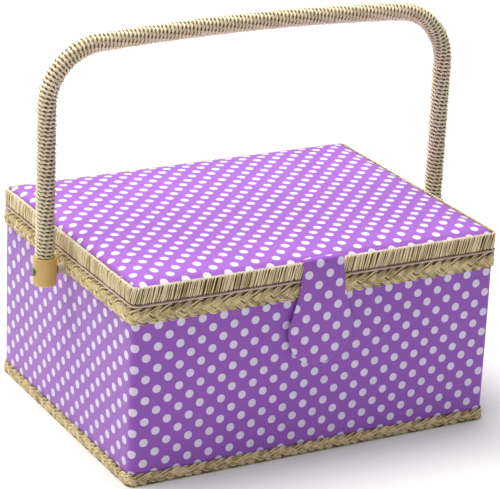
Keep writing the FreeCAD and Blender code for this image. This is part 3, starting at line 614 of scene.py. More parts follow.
def make_piece(name, vertices, faces, material, corners=None):
    """A piece from points and faces, with a cloth map from each face's corners if given."""
    mesh = bpy.data.meshes.new(name)
    mesh.from_pydata([tuple(v) for v in vertices], [], faces)
    if corners is not None:
        cloth = mesh.uv_layers.new(name="cloth")
        flat = [value for face in corners for pair in face for value in pair]
        cloth.data.foreach_set("uv", flat)
    mesh.materials.append(material)
    mesh.shade_smooth()
    mesh.update()
    return add_object(name, mesh)


def sleeve(loops, around):
    """The faces between loops of points, and one face over each end."""
    faces = []
    for loop in range(loops - 1):
        near, far = loop * around, (loop + 1) * around
        for step in range(around):
            beside = (step + 1) % around
            faces.append((near + step, far + step, far + beside, near + beside))
    faces.append(tuple(range(around)))
    faces.append(tuple(range(loops * around - 1, (loops - 1) * around - 1, -1)))
    return faces


def tidy(mesh, join=0.01 * MM):
    """Joins doubles and turns every face outwards."""
    shape = bmesh.new()
    shape.from_mesh(mesh)
    bmesh.ops.remove_doubles(shape, verts=shape.verts, dist=join)
    bmesh.ops.dissolve_degenerate(shape, edges=shape.edges, dist=0.001 * MM)
    bmesh.ops.recalc_face_normals(shape, faces=shape.faces)
    shape.to_mesh(mesh)
    shape.free()
    mesh.update()


def ring(name, profile, material, cloth=None, wave=None, closed=True):
    """A profile of (reach, height) points swept round the box.

    The profile runs up the outside, so the faces point out. With closed false, the last loop is
    filled in flat.
    """
    count, rows = len(STATIONS), len(profile)
    vertices = []
    for row, (reach, height) in enumerate(profile):
        for station in STATIONS:
            point = at(station, reach, height)
            if wave is not None:
                point = wave(station, row, point)
            vertices.append(point)
    faces, corners = [], []
    for row in range(rows if closed else rows - 1):
        above = (row + 1) % rows
        for index in range(count):
            beside = (index + 1) % count
            here, over = row * count, above * count
            faces.append((here + index, here + beside, over + beside, over + index))
            end = STATIONS[beside][2] if beside else STATIONS[0][2] + ROUND
            lengths = (STATIONS[index][2], end)
            heights = (profile[row][1], profile[above][1])
            spots = ((0, 0), (1, 0), (1, 1), (0, 1))
            if cloth is not None:
                corners.append([cloth(lengths[a], heights[b]) for a, b in spots])
    if not closed:
        first = range(count - 1, -1, -1)
        last = range((rows - 1) * count, rows * count)
        for cap in (first, last):
            faces.append(tuple(cap))
            if cloth is not None:
                corners.append([tuple(vertices[v][:2]) for v in cap])
    return make_piece(name, vertices, faces, material, corners if cloth is not None else None)


# ---- strands along a path


def path_curve(name, points, closed):
    """A curve of straight steps through the points."""
    curve = bpy.data.curves.new(name, "CURVE")
    curve.dimensions = "3D"
    spline = curve.splines.new("POLY")
    spline.points.add(len(points) - 1)
    for spot, point in zip(spline.points, points):
        spot.co = (*point, 1.0)
    spline.use_cyclic_u = closed
    return curve


def named(graph, name):
    """A stored number of each point."""
    return graph.node("GeometryNodeInputNamedAttribute", {"data_type": "FLOAT"}, {"Name": name})


def store(graph, geometry, name, value):
    """Stores a number on each point."""
    sockets = {"Geometry": geometry, "Name": name, "Value": value}
    return graph.node("GeometryNodeStoreNamedAttribute", {"data_type": "FLOAT"}, sockets)


def strand_tree(name, shape, sizes, axis, material, after=None):
    """Geometry nodes that lay strands along the path that the object holds.

    Every strand starts as a sheet of Steps by Sides. shape(graph, size, spot) says how far along
    the path, out from it and up from it each of its points goes, and a painted shade value from
    -1 to 1, mostly how near the strand's ridge it is. after may move the points again.
    """
    tree = bpy.data.node_groups.new(name, "GeometryNodeTree")
    tree.interface.new_socket("Path", in_out="INPUT", socket_type="NodeSocketGeometry")
    for label, value in sizes.items():
        kind = "NodeSocketInt" if isinstance(value, int) else "NodeSocketFloat"
        tree.interface.new_socket(label, in_out="INPUT", socket_type=kind)
    tree.interface.new_socket("Strands", in_out="OUTPUT", socket_type="NodeSocketGeometry")
    graph = Graph(tree)
    inlet = tree.nodes.new("NodeGroupInput")
    path = Value(graph, inlet.outputs[0])
    size = {label: Value(graph, inlet.outputs[label]) for label in sizes}
    row = graph.node("GeometryNodeMeshLine", {}, {"Count": size["Strands"]})
    row = store(graph, row, "strand", graph.node("GeometryNodeInputIndex"))
    sheet_sizes = {"Size X": 1.0, "Size Y": 1.0}
    sheet_sizes["Vertices X"] = size["Steps"] + 1
    sheet_sizes["Vertices Y"] = size["Sides"] + 1
    sheet = graph.node("GeometryNodeMeshGrid", {}, sheet_sizes)
    x, y, _ = graph.split(graph.node("GeometryNodeInputPosition"))
    sheet = store(graph, sheet, "share", x + 0.5)
    sheet = store(graph, sheet, "side", y + 0.5)
    laid = graph.node("GeometryNodeInstanceOnPoints", {}, {"Points": row, "Instance": sheet})
    laid = graph.node("GeometryNodeRealizeInstances", {}, {"Geometry": laid})
    total = graph.node("GeometryNodeCurveLength", {}, {"Curve": path})
    spot = {label: named(graph, label) for label in ("strand", "share", "side")}
    spot["total"] = total
    length, out, up, crest = shape(graph, size, spot)
    laid = store(graph, laid, "run", length)
    # Stored for the painted shade and painted light of the grass finish.
    laid = store(graph, laid, "crest", crest)
    rounds = graph.maths("FLOOR", length / total + 1e-7)
    wrapped = length - rounds * total
    by_length = {"mode": "LENGTH", "use_all_curves": True}
    sample = {"Curves": path, "Length": wrapped}
    point = graph.node("GeometryNodeSampleCurve", by_length, sample, "Position")
    along = graph.node("GeometryNodeSampleCurve", by_length, sample, "Tangent")
    side = graph.vectors("NORMALIZE", graph.vectors("CROSS_PRODUCT", along, axis))
    point = graph.vectors("ADD", point, graph.vectors("SCALE", side, Scale=out))
    point = graph.vectors("ADD", point, graph.vectors("SCALE", axis, Scale=up))
    if after is not None:
        point = graph.join(*after(graph, *graph.split(point)))
    laid = graph.node("GeometryNodeSetPosition", {}, {"Geometry": laid, "Position": point})
    laid = graph.node("GeometryNodeRealizeInstances", {}, {"Geometry": laid})
    laid = graph.node("GeometryNodeSetMaterial", {}, {"Geometry": laid, "Material": material})
    outlet = tree.nodes.new("NodeGroupOutput")
    tree.links.new(laid.socket, outlet.inputs[0])
    return tree


def lay_strands(name, points, closed, shape, sizes, material, axis=(0.0, 0.0, 1.0), after=None):
    """A piece of strands along a path, made plain mesh."""
    tree = strand_tree(name + "_tree", shape, sizes, axis, material, after)
    carrier = add_object(name + "_path", path_curve(name + "_path", points, closed))
    laying = carrier.modifiers.new("strands", "NODES")
    laying.node_group = tree
    for item in tree.interface.items_tree:
        if item.in_out == "INPUT" and item.name in sizes:
            laying[item.identifier] = sizes[item.name]
    graph = bpy.context.evaluated_depsgraph_get()
    mesh = bpy.data.meshes.new_from_object(carrier.evaluated_get(graph), depsgraph=graph)
    bpy.data.objects.remove(carrier)
    mesh.name = name
    tidy(mesh)
    mesh.shade_smooth()
    return add_object(name, mesh)


def plait_shape(graph, size, spot):
    """Three bundles of threads that sway over and under each other."""
    threads, radius, sway = size["Threads"], size["Radius"], size["Sway"]
    bundle = graph.maths("FLOOR", (spot["strand"] + 0.5) / threads)
    place = spot["strand"] - bundle * threads
    lay = (size["Rounds"] * spot["share"] + bundle / 3) * TURN
    slope = graph.cosine(lay) * sway * size["Rounds"] * TURN / spot["total"]
    lean = 1 / graph.maths("SQRT", 1 + slope * slope)
    round_path = spot["share"] * TURN
    x, y = graph.cosine(round_path) * 40.0, graph.sine(round_path) * 40.0
    loop = graph.join(x, y, spot["strand"] * 5.3)
    stray = graph.cloud(loop, 1.0) - 0.5
    lift = graph.cloud(graph.vectors("ADD", loop, (0.0, 90.0, 7.0)), 1.0) - 0.5
    thick = radius * (0.8 + 0.4 * graph.chance(spot["strand"], 2.2) + lift * 0.5)
    turned = spot["side"] * TURN
    aside = (place - (threads - 1) / 2) * radius * 2.15 + stray * radius * 2.0
    aside = aside + thick * graph.cosine(turned)
    length = spot["share"] * spot["total"] - aside * slope * lean
    up = graph.sine(lay) * sway + aside * lean
    crown = (place - (threads - 1) / 2) / threads
    out = graph.sine(lay * 2) * size["Weave"] + thick * graph.sine(turned) * 1.1
    out = out + (lift * 1.2 - crown * crown * 2.0) * radius
    # Painted shade: threads darker on their sides and where another bundle lies over them, lighter where
    # their bundle lies on top.
    over = graph.sine(lay * 2) * 0.7
    return length, out, up, graph.sine(turned) + over


def fringe_shape(graph, size, spot):
    """Short strands side by side, which lean and turn in over the edge."""
    strand, share = spot["strand"], spot["share"]
    first, second, third = (graph.chance(strand, seed) for seed in (1.3, 5.7, 9.2))
    turned = spot["side"] * TURN
    steps = size["Steps"]
    taper = graph.maths("MINIMUM", 1.0, graph.maths("MINIMUM", share, 1 - share) * steps)
    radius = size["Radius"] * (0.8 + 0.4 * first) * taper
    drift = graph.cloud(graph.join(strand * 0.045, 0.0, 3.0), 1.0) - 0.5
    lean = size["Lean"] * (1 + (second - 0.5) * 0.3 + drift * 0.7)
    start = (strand + (first - 0.5) * 0.5) / size["Strands"] * spot["total"]
    swerve = graph.sine(share * 5.0 + third * 2.0) * 0.45 * MM
    length = start + lean * share + swerve + radius * graph.cosine(turned)
    rise = size["Height"] + (third - 0.5) * 0.3 * MM
    up = graph.sine(share * 1.25 * TURN / 4) * rise
    over = graph.smooth(share, 0.55, 1.0)
    belly = graph.sine(share * TURN / 2) * 0.5 * MM
    out = belly + (second - 0.5) * 0.7 * MM - over * size["Turn in"]
    out = out + radius * 1.1 * graph.sine(turned)
    # Painted shade on the strands' sides, and a painted highlight towards their tops, where they turn in
    # over the edge.
    return length, out, up, graph.sine(turned) + graph.smooth(share, 0.45, 0.8) * 0.6


def rope_shape(graph, size, spot):
    """Two threads twisted together."""
    twist = (size["Rounds"] * spot["share"] + spot["strand"] / 2) * TURN
    turned = spot["side"] * TURN
    radius = size["Radius"]
    out = (graph.cosine(twist) * 0.85 + graph.cosine(turned)) * radius
    up = (graph.sine(twist) * 0.85 + graph.sine(turned)) * radius
    # Painted shade on the inner sides of the twisted threads, painted light on their outer sides.
    return spot["share"] * spot["total"], out, up, out / radius - 0.5


def wrap_shape(graph, size, spot):
    """One twisted cord wound tightly round the handle's core."""
    share = spot["share"]
    around = share * size["Turns"] * TURN
    twist = around * size["Plies"]
    turned = spot["side"] * TURN
    taper = graph.maths("MINIMUM", 1.0, graph.maths("MINIMUM", share, 1 - share) * 3000.0)
    wild = graph.cloud(graph.join(share * 900.0, 0.0, 0.0), 1.0) - 0.5
    wide = graph.cosine(turned) * size["Wide"] * taper
    thin = graph.sine(turned) * size["Thin"] * taper
    raised = wide * graph.cosine(twist) - thin * graph.sine(twist)
    beside = wide * graph.sine(twist) + thin * graph.cosine(twist)
    reach = size["Radius"] + raised + wild * 0.5 * MM
    slip = (graph.cloud(graph.join(share * 230.0, 4.0, 0.0), 1.0) - 0.5) * 0.9 * MM
    length = share * (spot["total"] - 4 * MM) + 2 * MM + beside + slip * taper
    # Painted shade down between the turns of the cord, lighter where the ply stands highest.
    crest = raised / size["Thin"] * 1.5 - 0.7
    return length, reach * graph.cosine(around), reach * graph.sine(around), crest


# ---- the box


# How far the hinges stand from the middle, how wide their gap is, and how deep the rim dips there.
HINGE_SIDE = 90 * MM
HINGE_CLEAR = 16 * MM
HINGE_DIP = 1.5 * MM
RIM_ZONE = 140 * MM
# The faces of the cloth on the box's ends, measured from the middle.
COVER_INSIDE = 155.2 * MM
LINING_BACK = 148.95 * MM
LINING_FACE = 147.8 * MM
WALL_ROWS = 25


def near_hinge(x):
    """1 at a hinge leaf, and 0 away from it."""
    return 1 - lies_between(abs(abs(x) - HINGE_SIDE), HINGE_CLEAR, HINGE_CLEAR + 4 * MM)


def hinge_mask(graph, x, y, low, high):
    """The same for strands: 1 at the hinges on the back, and 0 elsewhere."""
    across = graph.maths("ABSOLUTE", graph.maths("ABSOLUTE", x) - HINGE_SIDE)
    return (1 - graph.smooth(across, low, high)) * graph.maths("GREATER_THAN", y, 0.1)


def clear_hinges(station, row, point):
    """Dips the rim under the hinge leaves."""
    if point.y > 0 and point.z > RIM_ZONE:
        point.z -= HINGE_DIP * near_hinge(point.x)
    return point


def wall_wave(station, row, point):
    """Cloth stretched over wadding: a slight swell, and a dip in the rim at the hinges."""
    middle = math.sin(math.pi * min(1.0, max(0.0, point.z / WALL.z)))
    swell = 0.25 * MM * (middle + noise.noise(point * 14))
    swell += 0.12 * MM * noise.noise(point * 60)
    if row < WALL_ROWS:
        point.x += station[1].x * swell
        point.y += station[1].y * swell
    return clear_hinges(station, row, point)


def make_wall_cover():
    low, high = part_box("outer_cover")
    outside, inside = WALL_CORNER, reach_of(COVER_INSIDE)
    rise = high.z - low.z
    profile = [(outside, low.z + rise * row / (WALL_ROWS - 1)) for row in range(WALL_ROWS)]
    profile += [(inside, high.z), (inside, low.z + rise / 2), (inside, low.z)]
    cover = ring("wall_cover", profile, dotted_cotton, wall_cloth, wall_wave)
    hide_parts("outer_cover")
    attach(cover, "box")


def lining_cloth(length, height):
    return length, height


def make_wall_lining():
    low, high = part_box("wall_lining")
    back, face = reach_of(LINING_BACK), reach_of(LINING_FACE)
    lip = reach_of(high.x)
    shelf = high.z - 1.15 * MM
    top = high.z - 0.5 * MM
    rows = 9

    def wave(station, row, point):
        """Small creases in the glued lining."""
        if row >= 4:
            spot = Vector((point.x * 30, point.y * 30, point.z * 9))
            crease = 0.25 * MM * abs(noise.noise(spot))
            point.x -= station[1].x * crease
            point.y -= station[1].y * crease
        return point

    profile = [(back, low.z), (back, shelf), (lip, shelf), (lip, high.z), (face + 0.5 * MM, high.z)]
    profile += [(face, top - (top - low.z) * row / (rows - 1)) for row in range(rows)]
    lining = ring("wall_lining_cloth", profile, lining_cotton, lining_cloth, wave)
    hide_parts("wall_lining")
    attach(lining, "box")


def make_floor_lining():
    low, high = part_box("floor_lining")
    edge = reach_of(high.x)
    profile = [(edge - 0.3 * MM, low.z), (edge, (low.z + high.z) / 2), (edge - 0.4 * MM, high.z)]
    lining = ring("floor_lining_cloth", profile, lining_cotton, lining_cloth, closed=False)
    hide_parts("floor_lining")
    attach(lining, "box")


def base_after(graph, x, y, z):
    """Keeps the plait off the table."""
    return x, y, graph.maths("MAXIMUM", z, 0.05 * MM)


def lay_plait(name, node, reach, threads, steps, sway, weave, rounds, after):
    """Three bundles of threads along the middle of one CAD plait."""
    low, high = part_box(node)
    middle = (low.z + high.z) / 2
    points = [at(station, WALL_CORNER + reach, middle) for station in FINE_STATIONS]
    sizes = {
        "Strands": 3 * threads,
        "Steps": steps,
        "Sides": 5,
        "Threads": threads,
        "Radius": 0.66 * MM,
        "Sway": sway,
        "Weave": weave,
        "Rounds": rounds,
    }
    return lay_strands(name, points, True, plait_shape, sizes, GRASSES["plait_grass"], after=after)


def make_plaits():
    sizes = (0.8 * MM, 4, 720, 2.5 * MM, 0.7 * MM, 48)
    plait = lay_plait("base_plait", "base_braid", *sizes, base_after)
    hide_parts("base_braid")
    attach(plait, "box")

    low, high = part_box("rim_braid")
    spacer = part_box("handle_spacer_left")
    pivot = (spacer[0].z + spacer[1].z) / 2
    clear = (spacer[1].z - spacer[0].z) / 2 + 0.5 * MM
    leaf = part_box("hinge_box_leaf_left")[0].z

    def rim_after(graph, x, y, z):
        """Parts the threads round the handle's spacers, and presses them down at the hinges."""
        above = z - pivot
        away = graph.maths("SQRT", y * y + above * above) + 1e-5
        parted = ((away**4) + clear**4) ** 0.25 / away
        y, z = y * parted, pivot + above * parted
        hinge = hinge_mask(graph, x, y, HINGE_CLEAR - 1 * MM, HINGE_CLEAR + 3 * MM)
        pressed = graph.maths("MINIMUM", z, leaf - 0.2 * MM)
        return x, y, z + (pressed - z) * hinge

    sizes = (0.9 * MM, 5, 800, 3.7 * MM, 1.1 * MM, 44)
    plait = lay_plait("rim_plait", "rim_braid", *sizes, rim_after)
    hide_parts("rim_braid")
    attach(plait, "box")
    # A dark sheet behind the plait: painted shade in the gaps between its bundles, where the cloth behind
    # would show.
    profile = [
        (WALL_CORNER - 0.3 * MM, low.z + 1.2 * MM),
        (WALL_CORNER + 0.4 * MM, low.z + 1.6 * MM),
        (WALL_CORNER + 0.7 * MM, high.z - 0.6 * MM),
        (WALL_CORNER + 0.5 * MM, high.z),
        (WALL_CORNER - 0.6 * MM, high.z),
    ]
    backing = ring("rim_plait_shade_backing", profile, GRASSES["painted_shade_grass"], wave=clear_hinges)
    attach(backing, "box")


# ---- the lid


LID_LOW, LID_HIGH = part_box("lid_cover")
SLOPE = 20 * MM
SLOPE_EXTRA = 2.6 * MM
SKIRT_INSIDE = 157.1 * MM
SKIRT_BEND = 154 * MM
SWELL_STEPS = 20


def unrolled(value, half):
    """How far a point of the lid's cloth is from the middle, measured down its sloping edge."""
    beyond = abs(value) - (half - SLOPE)
    if beyond <= 0:
        return value
    share = min(1.0, beyond / SLOPE)
    return math.copysign(abs(value) + SLOPE_EXTRA * share**3, value)


def lid_cloth(point):
    return TOP_CUT.place(unrolled(point.x, LID_HIGH.x), unrolled(point.y, LID_HIGH.y))


def cushion_block(half_x, half_y, low, high, corner, edge):
    """A slab with rounded corners and edges, ready to be swelled."""
    shape = bmesh.new()
    bmesh.ops.create_cube(shape, size=1.0)
    for vertex in shape.verts:
        vertex.co.x *= 2 * half_x
        vertex.co.y *= 2 * half_y
        vertex.co.z = low if vertex.co.z < 0 else high
    tall = 0.5 * (high - low)
    upright = [e for e in shape.edges if abs(e.verts[0].co.z - e.verts[1].co.z) > tall]
    bmesh.ops.bevel(shape, geom=upright, offset=corner, segments=6, profile=0.5, affect="EDGES")
    rims = [e for e in shape.edges if e.is_manifold and e.calc_face_angle(0) > 1.2]
    bmesh.ops.bevel(shape, geom=rims, offset=edge, segments=4, profile=0.5, affect="EDGES")
    mesh = bpy.data.meshes.new("slab")
    shape.to_mesh(mesh)
    shape.free()
    return mesh


def plain_copy(piece):
    """The piece's mesh with its modifiers worked in."""
    graph = bpy.context.evaluated_depsgraph_get()
    return bpy.data.meshes.new_from_object(piece.evaluated_get(graph), depsgraph=graph)


def swelled(name, mesh, voxel, pressure, most, pinned, material):
    """Fills a slab like a cushion: remesh, cloth under pressure, then one subdivision.

    pinned(point) says which points stay. No point moves further than most.
    """
    piece = add_object(name, mesh)
    remesh = piece.modifiers.new("remesh", "REMESH")
    remesh.mode = "VOXEL"
    remesh.voxel_size = voxel
    piece.data = plain_copy(piece)
    piece.modifiers.clear()
    start = [vertex.co.copy() for vertex in piece.data.vertices]
    held = piece.vertex_groups.new(name="held")
    held.add([index for index, co in enumerate(start) if pinned(co)], 1.0, "REPLACE")
    cloth = piece.modifiers.new("cloth", "CLOTH")
    cloth.settings.quality = 6
    cloth.settings.vertex_group_mass = "held"
    cloth.settings.use_pressure = True
    cloth.settings.uniform_pressure_force = pressure
    cloth.settings.effector_weights.gravity = 0.0
    cloth.point_cache.frame_end = SWELL_STEPS
    for frame_number in range(1, SWELL_STEPS + 1):
        scene.frame_set(frame_number)
    filled = plain_copy(piece)
    piece.modifiers.clear()
    for vertex, rest, moved in zip(piece.data.vertices, start, filled.vertices):
        shift = moved.co - rest
        if shift.length > most:
            shift *= most / shift.length
        vertex.co = rest + shift
    scene.frame_set(1)
    smooth = piece.modifiers.new("smooth", "SUBSURF")
    smooth.levels = 1
    smooth.render_levels = 1
    piece.data = plain_copy(piece)
    piece.modifiers.clear()
    piece.data.name = name
    piece.data.materials.clear()
    piece.data.materials.append(material)
    piece.data.shade_smooth()
    return piece


def make_lid_pad():
    """Foam under stretched cotton, held down at its edge."""
    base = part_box("lid_foam")[0].z + 0.15 * MM
    top = LID_HIGH.z - 0.9 * MM
    edge = WALL_CORNER - 0.35 * MM
    sill = base + 1.6 * MM
    profile = [(edge - 0.3 * MM, base), (edge, base + 0.6 * MM)]
    steps = 12
    for step in range(steps + 1):
        turned = step / steps * TURN / 4
        inset = SLOPE * (1 - math.cos(turned))
        profile.append((edge - inset, sill + (top - sill) * math.sin(turned)))
    slab = ring("lid_slab", profile, dotted_cotton, closed=False)
    mesh = slab.data
    bpy.data.objects.remove(slab)

    def pinned(point):
        return point.z < base + 1.5 * MM

    pad = swelled("lid_pad", mesh, 4 * MM, 4.0, 0.6 * MM, pinned, dotted_cotton)
    corners = [lid_cloth(pad.data.vertices[loop.vertex_index].co) for loop in pad.data.loops]
    cloth = pad.data.uv_layers.new(name="cloth")
    cloth.data.foreach_set("uv", [value for pair in corners for value in pair])
    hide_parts("lid_foam", "lid_cover")
    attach(pad, "lid")

    def skirt_cloth(length, height):
        return TOP_CUT.place(length, height - LID_HIGH.z - LID_HIGH.y)

    outside, inside = WALL_CORNER - 0.65 * MM, reach_of(SKIRT_INSIDE)
    top = base - 0.3 * MM
    profile = [(outside, LID_LOW.z), (outside, SKIRT_BEND), (outside, top)]
    profile += [(inside, top), (inside, LID_LOW.z)]
    skirt = ring("lid_skirt", profile, dotted_cotton, skirt_cloth)
    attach(skirt, "lid")


def make_lid_band():
    low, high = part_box("lid_band")
    points = [at(station, WALL_CORNER + 0.8 * MM, low.z - 0.4 * MM) for station in FINE_STATIONS]
    sizes = {
        "Strands": 730,
        "Steps": 12,
        "Sides": 6,
        "Radius": 0.60 * MM,
        "Lean": 6.2 * MM,
        "Height": high.z - low.z + 0.7 * MM,
        "Turn in": 2.4 * MM,
    }
    band = lay_strands("lid_band_fringe", points, True, fringe_shape, sizes, GRASSES["band_grass"])
    make_band_edge(high.z)
    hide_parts("lid_band")
    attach(band, "lid")
    # A dark sheet behind the fringe: painted shade in the gaps between its strands and above the cord.
    profile = [
        (WALL_CORNER - 0.6 * MM, LID_LOW.z + 0.2 * MM),
        (WALL_CORNER + 0.2 * MM, LID_LOW.z + 0.2 * MM),
        (WALL_CORNER + 0.3 * MM, high.z - 1.6 * MM),
        (WALL_CORNER - 0.6 * MM, high.z - 1.2 * MM),
    ]
    backing = ring("lid_band_shade_backing", profile, GRASSES["painted_shade_grass"], wave=clear_leaves)
    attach(backing, "lid")

    low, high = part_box("lid_band_cord")
    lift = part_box("hinge_lid_leaf_left")[1].z - low.z + 0.9 * MM

    def cord_after(graph, x, y, z):
        """Lifts the cord over the hinge leaves."""
        hinge = hinge_mask(graph, x, y, HINGE_CLEAR, HINGE_CLEAR + 5 * MM)
        return x, y, z + hinge * lift

    sizes = {"Strands": 2, "Steps": 3200, "Sides": 5, "Radius": 0.50 * MM, "Rounds": 300}
    middle = (low.z + high.z) / 2 + 0.15 * MM
    points = [at(station, WALL_CORNER + 1.5 * MM, middle) for station in FINE_STATIONS]
    cord = lay_strands(
        "lid_band_cord_twist", points, True, rope_shape, sizes, GRASSES["brown_cord"], after=cord_after
    )
    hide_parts("lid_band_cord")
    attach(cord, "lid")


def clear_leaves(station, row, point):
    """Lifts the band's backing over the hinge leaves."""
    if point.y > 0 and row < 2:
        point.z += HINGE_DIP * near_hinge(point.x)
    return point


def make_band_edge(top):
    """The pale stitched loops along the band's top edge, paler than the band's grass: a painted highlight
    on the edge.
    """
    points = [at(station, WALL_CORNER + 0.35 * MM, top + 0.05 * MM) for station in FINE_STATIONS]
    sizes = {"Strands": 2, "Steps": 3200, "Sides": 5, "Radius": 0.58 * MM, "Rounds": 190}
    edge = lay_strands("lid_band_edge", points, True, rope_shape, sizes, GRASSES["edge_highlight_grass"])
    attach(edge, "lid")


def make_lid_lining():
    low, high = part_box("lid_lining")
    face, ceiling = reach_of(LINING_FACE), high.z
    edge = reach_of(high.x)
    back = face + 1.1 * MM
    shelf = low.z + 1.15 * MM
    profile = [
        (back - 0.2 * MM, ceiling),
        (back, shelf),
        (edge, shelf),
        (edge, low.z),
        (face + 0.6 * MM, low.z),
        (face, low.z + 0.6 * MM),
        (face, ceiling - 2.2 * MM),
        (face - 0.5 * MM, ceiling - 1.4 * MM),
    ]
    lining = ring("lid_lining_cloth", profile, lining_cotton, lining_cloth, closed=False)
    tidy(lining.data)
    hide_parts("lid_lining")
    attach(lining, "lid")


def make_pincushion():
    low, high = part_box("pincushion")
    half_x, half_y = (high.x - low.x) / 2, (high.y - low.y) / 2
    centre = Vector(((low.x + high.x) / 2, (low.y + high.y) / 2, 0))
    bottom, top = low.z + 2.2 * MM, high.z - 0.2 * MM
    corner, edge = 6 * MM, 3.4 * MM
    slab = cushion_block(half_x - 1 * MM, half_y - 1 * MM, bottom, top, corner, edge)
    for vertex in slab.vertices:
        vertex.co += centre

    def pinned(point):
        return point.z > high.z - 1.2 * MM

    velvet = FINISHES["pincushion_fabric"]
    cushion = swelled("pin_pad", slab, 4 * MM, 4.0, 4.0 * MM, pinned, velvet)
    for vertex in cushion.data.vertices:
        vertex.co.z = max(vertex.co.z, low.z - 1.5 * MM)
    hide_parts("pincushion")
    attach(cushion, "lid")


def make_pocket():
    """A pocket of lining cotton in the lid, gathered by an elastic along its open edge."""
    low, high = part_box("lid_pocket")
    columns, rows = 96, 26
    thick = 0.7 * MM
    face = low.z + 1.3 * MM
    seam = 7 * MM
    gathers = 17
    vertices, faces = [], []
    for side in range(2):
        for row in range(rows + 1):
            v = row / rows
            for column in range(columns + 1):
                u = column / columns
                x = low.x + (high.x - low.x) * u
                y = low.y + (high.y - low.y) * v
                edge = min(u, 1 - u) * (high.x - low.x)
                far = (1 - v) * (high.y - low.y)
                rise = 1 - min(lies_between(edge, 0, seam), lies_between(far, 0, seam))
                gather = math.sin(u * TURN * gathers + 1.2 * math.sin(u * 23)) * MM
                gather *= (1 - 0.75 * v) * (1 - rise)
                z = face + gather + (high.z - thick - face) * rise + thick * side
                vertices.append((x, y, z))
    width = columns + 1
    half = width * (rows + 1)

    def corner(side, row, column):
        return side * half + row * width + column

    for row in range(rows):
        for column in range(columns):
            square = [(row, column), (row, column + 1), (row + 1, column + 1), (row + 1, column)]
            faces.append(tuple(corner(1, *spot) for spot in square))
            faces.append(tuple(corner(0, *spot) for spot in reversed(square)))
    rim = [(0, c) for c in range(columns)] + [(r, columns) for r in range(rows)]
    rim += [(rows, c) for c in range(columns, 0, -1)] + [(r, 0) for r in range(rows, 0, -1)]
    for index, spot in enumerate(rim):
        beside = rim[(index + 1) % len(rim)]
        faces.append((corner(0, *spot), corner(0, *beside), corner(1, *beside), corner(1, *spot)))
    pocket = make_piece("lid_pocket_cloth", vertices, faces, lining_cotton)
    tidy(pocket.data)
    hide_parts("lid_pocket")
    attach(pocket, "lid")


def make_elastic():
    """The ribbed elastic that draws in the pocket's open edge."""
    low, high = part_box("pocket_elastic")
    steps = 4
    count = round((high.x - low.x) / ELASTIC_RIB) * steps
    middle, thick = (low.z + high.z) / 2, (high.z - low.z) / 2
    rounded = 0.3 * MM
    section = [
        (low.y, middle - thick / 2),
        (low.y + rounded, middle - thick),
        (high.y - rounded, middle - thick),
        (high.y, middle - thick / 2),
        (high.y, middle + thick / 2),
        (high.y - rounded, middle + thick),
        (low.y + rounded, middle + thick),
        (low.y, middle + thick / 2),
    ]
    vertices = []
    for index in range(count + 1):
        x = low.x + (high.x - low.x) * index / count
        full = 0.72 + 0.28 * abs(math.sin(math.pi * index / steps))
        for y, z in section:
            vertices.append((x, y, middle + (z - middle) * full))
    faces = sleeve(count + 1, len(section))
    elastic = make_piece("pocket_elastic_strip", vertices, faces, FINISHES["elastic"])
    tidy(elastic.data)
    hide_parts("pocket_elastic")
    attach(elastic, "lid")


# ---- the tab


TAB_LOW, TAB_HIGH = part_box("tab_cover")
TAB_TIP_RADIUS = 28.5 * MM
TAB_TIP = TAB_LOW.z + TAB_TIP_RADIUS
TAB_TOP = TAB_HIGH.z
FLARE = 140.3 * MM
FLARE_SIDE = 158.3 * MM
NECK = 9.9 * MM
# The tab's root over the band, as (forward, up) in millimetres, from the gap behind the band.
ROOT = (
    (-119.2, 158.2),
    (-119.4, 159.6),
    (-119.8, 161.0),
    (-120.6, 162.1),
    (-121.6, 162.7),
    (-122.5, 162.5),
    (-123.05, 161.8),
    (-123.15, 160.6),
)
ROOT_STEPS = len(ROOT)
ROOT_HALF, TOP_HALF = 17.6 * MM, 18 * MM
HANG_TOP = 159.4 * MM


def tab_half_width(height):
    """Half the tab's width: flared sides that run into a round tip."""
    if height > TAB_TIP + NECK:
        return FLARE_SIDE - math.sqrt(FLARE**2 - (min(height, TAB_TOP) - TAB_TOP) ** 2)
    return math.sqrt(max(0.0, TAB_TIP_RADIUS**2 - (height - TAB_TIP) ** 2))


def tab_line(count=64):
    """The tab's line from the gap behind the band, over it, and down the front."""
    line = [(y * MM, z * MM) for y, z in ROOT]
    for index in range(count + 1):
        share = 1 - (1 - index / count) ** 1.35
        line.append((line[ROOT_STEPS - 1][0], HANG_TOP + (TAB_LOW.z - HANG_TOP) * share))
    return line


